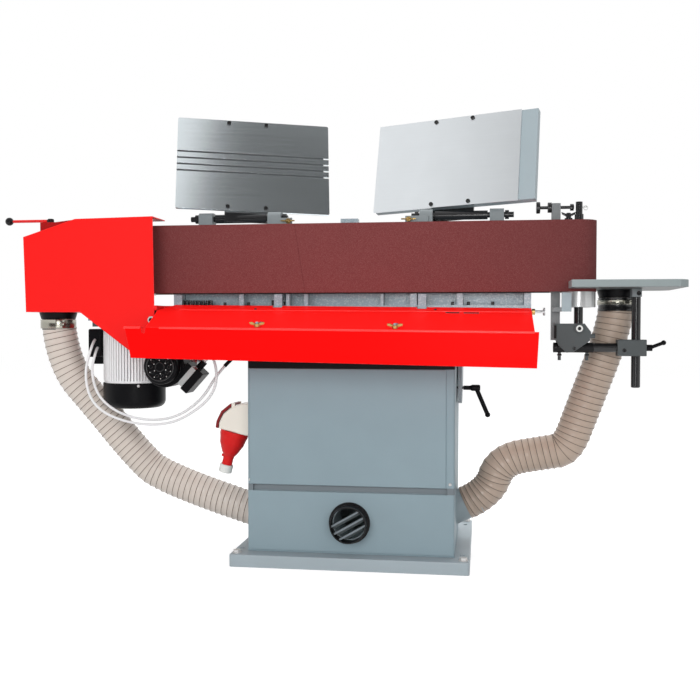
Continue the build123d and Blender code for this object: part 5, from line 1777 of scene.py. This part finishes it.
MOTOR_CABLE_SPAN = ((-760, -230, 480), (-560, -230, 420))
OSC_CABLE_ROUTE = ((-417, -262, 581.9), (-396, -261, 605), (-382, -256, 560), (-386, -254, 505), (-424, -254, 454),
                   (-522, -254, 396), (-654, -254, 400), (-757, -254, 446), (-786, -254, 540), (-764, -240, 636),
                   (-788, -168.2, 642))
OSC_CABLE_SPAN = ((-540, -250, 410), (-760, -250, 460))


def build_cords(shop: PaintShop) -> None:
    """Make both hoses with their bands, and both cables.

    Args:
        shop: The paint shop.
    """
    parts = Fasteners(shop)
    hood_band = parts.band_clamp("hood_hose_band", (-919.0, -137.0, 690.0), radius=51.8, width=27.0, facing=-62.0,
                                 body="head")
    table_cuff = parts.cuff("table_hose_cuff", (757.0, -60.0, 728.0), radius=51.8, height=38.5, body="end_table")
    table_band = parts.band_clamp("table_hose_band", (757.0, -60.0, 753.0), radius=54.6, width=13.0, facing=-70.0,
                                  body="end_table")
    Hose(shop, "left_hose_run", "left_hose", HOSE_FILM, LEFT_HOSE_ROUTE, length=923.0,
         span=LEFT_HOSE_SPAN).build([hood_band])
    Hose(shop, "right_hose_run", "right_hose", WARM_FILM, RIGHT_HOSE_ROUTE, length=684.0, span=RIGHT_HOSE_SPAN,
         top=TABLE_HOSE_TOP).build([table_cuff, table_band])
    Cable(shop, "motor_cable", MOTOR_CABLE_ROUTE, length=829.0, bodies=("drive_unit", "head"),
          span=MOTOR_CABLE_SPAN, sleeve=(0.80, 0.835)).build()
    Cable(shop, "osc_cable", OSC_CABLE_ROUTE, length=792.0, bodies=("head", "drive_unit"),
          span=OSC_CABLE_SPAN).build()


def build_details(shop: PaintShop) -> None:
    """Make the belt and the small pieces of each sub-assembly.

    Args:
        shop: The paint shop.
    """
    parts = Fasteners(shop)
    Belt(shop).build()
    for assembly in (Column, Head, Apron, GearMotor, DriveMotor):
        assembly(shop, parts).build()
    Plate(shop, parts, "left_plate", (-305.3, -130.0, 1025.7), yaw=17.9, lean=17.7, roll=-1.7, columns=(-76.0, 37.0),
          rows=(12.0, 289.0)).build()
    Plate(shop, parts, "right_plate", (257.6, -130.0, 1029.5), yaw=-16.9, lean=15.1, roll=1.8, columns=(-38.0, 74.0),
          rows=(11.0, 271.0)).build()
    IdlerEnd(shop, parts).build()


def main() -> None:
    """Build the studio, the cords, the finishes and the small pieces."""
    logging.basicConfig(level=logging.INFO, format="%(name)s: %(message)s")
    Studio().build()
    shop = PaintShop()
    build_cords(shop)
    shop.dress_solids()
    build_details(shop)
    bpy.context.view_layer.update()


if __name__ == "__main__":
    main()
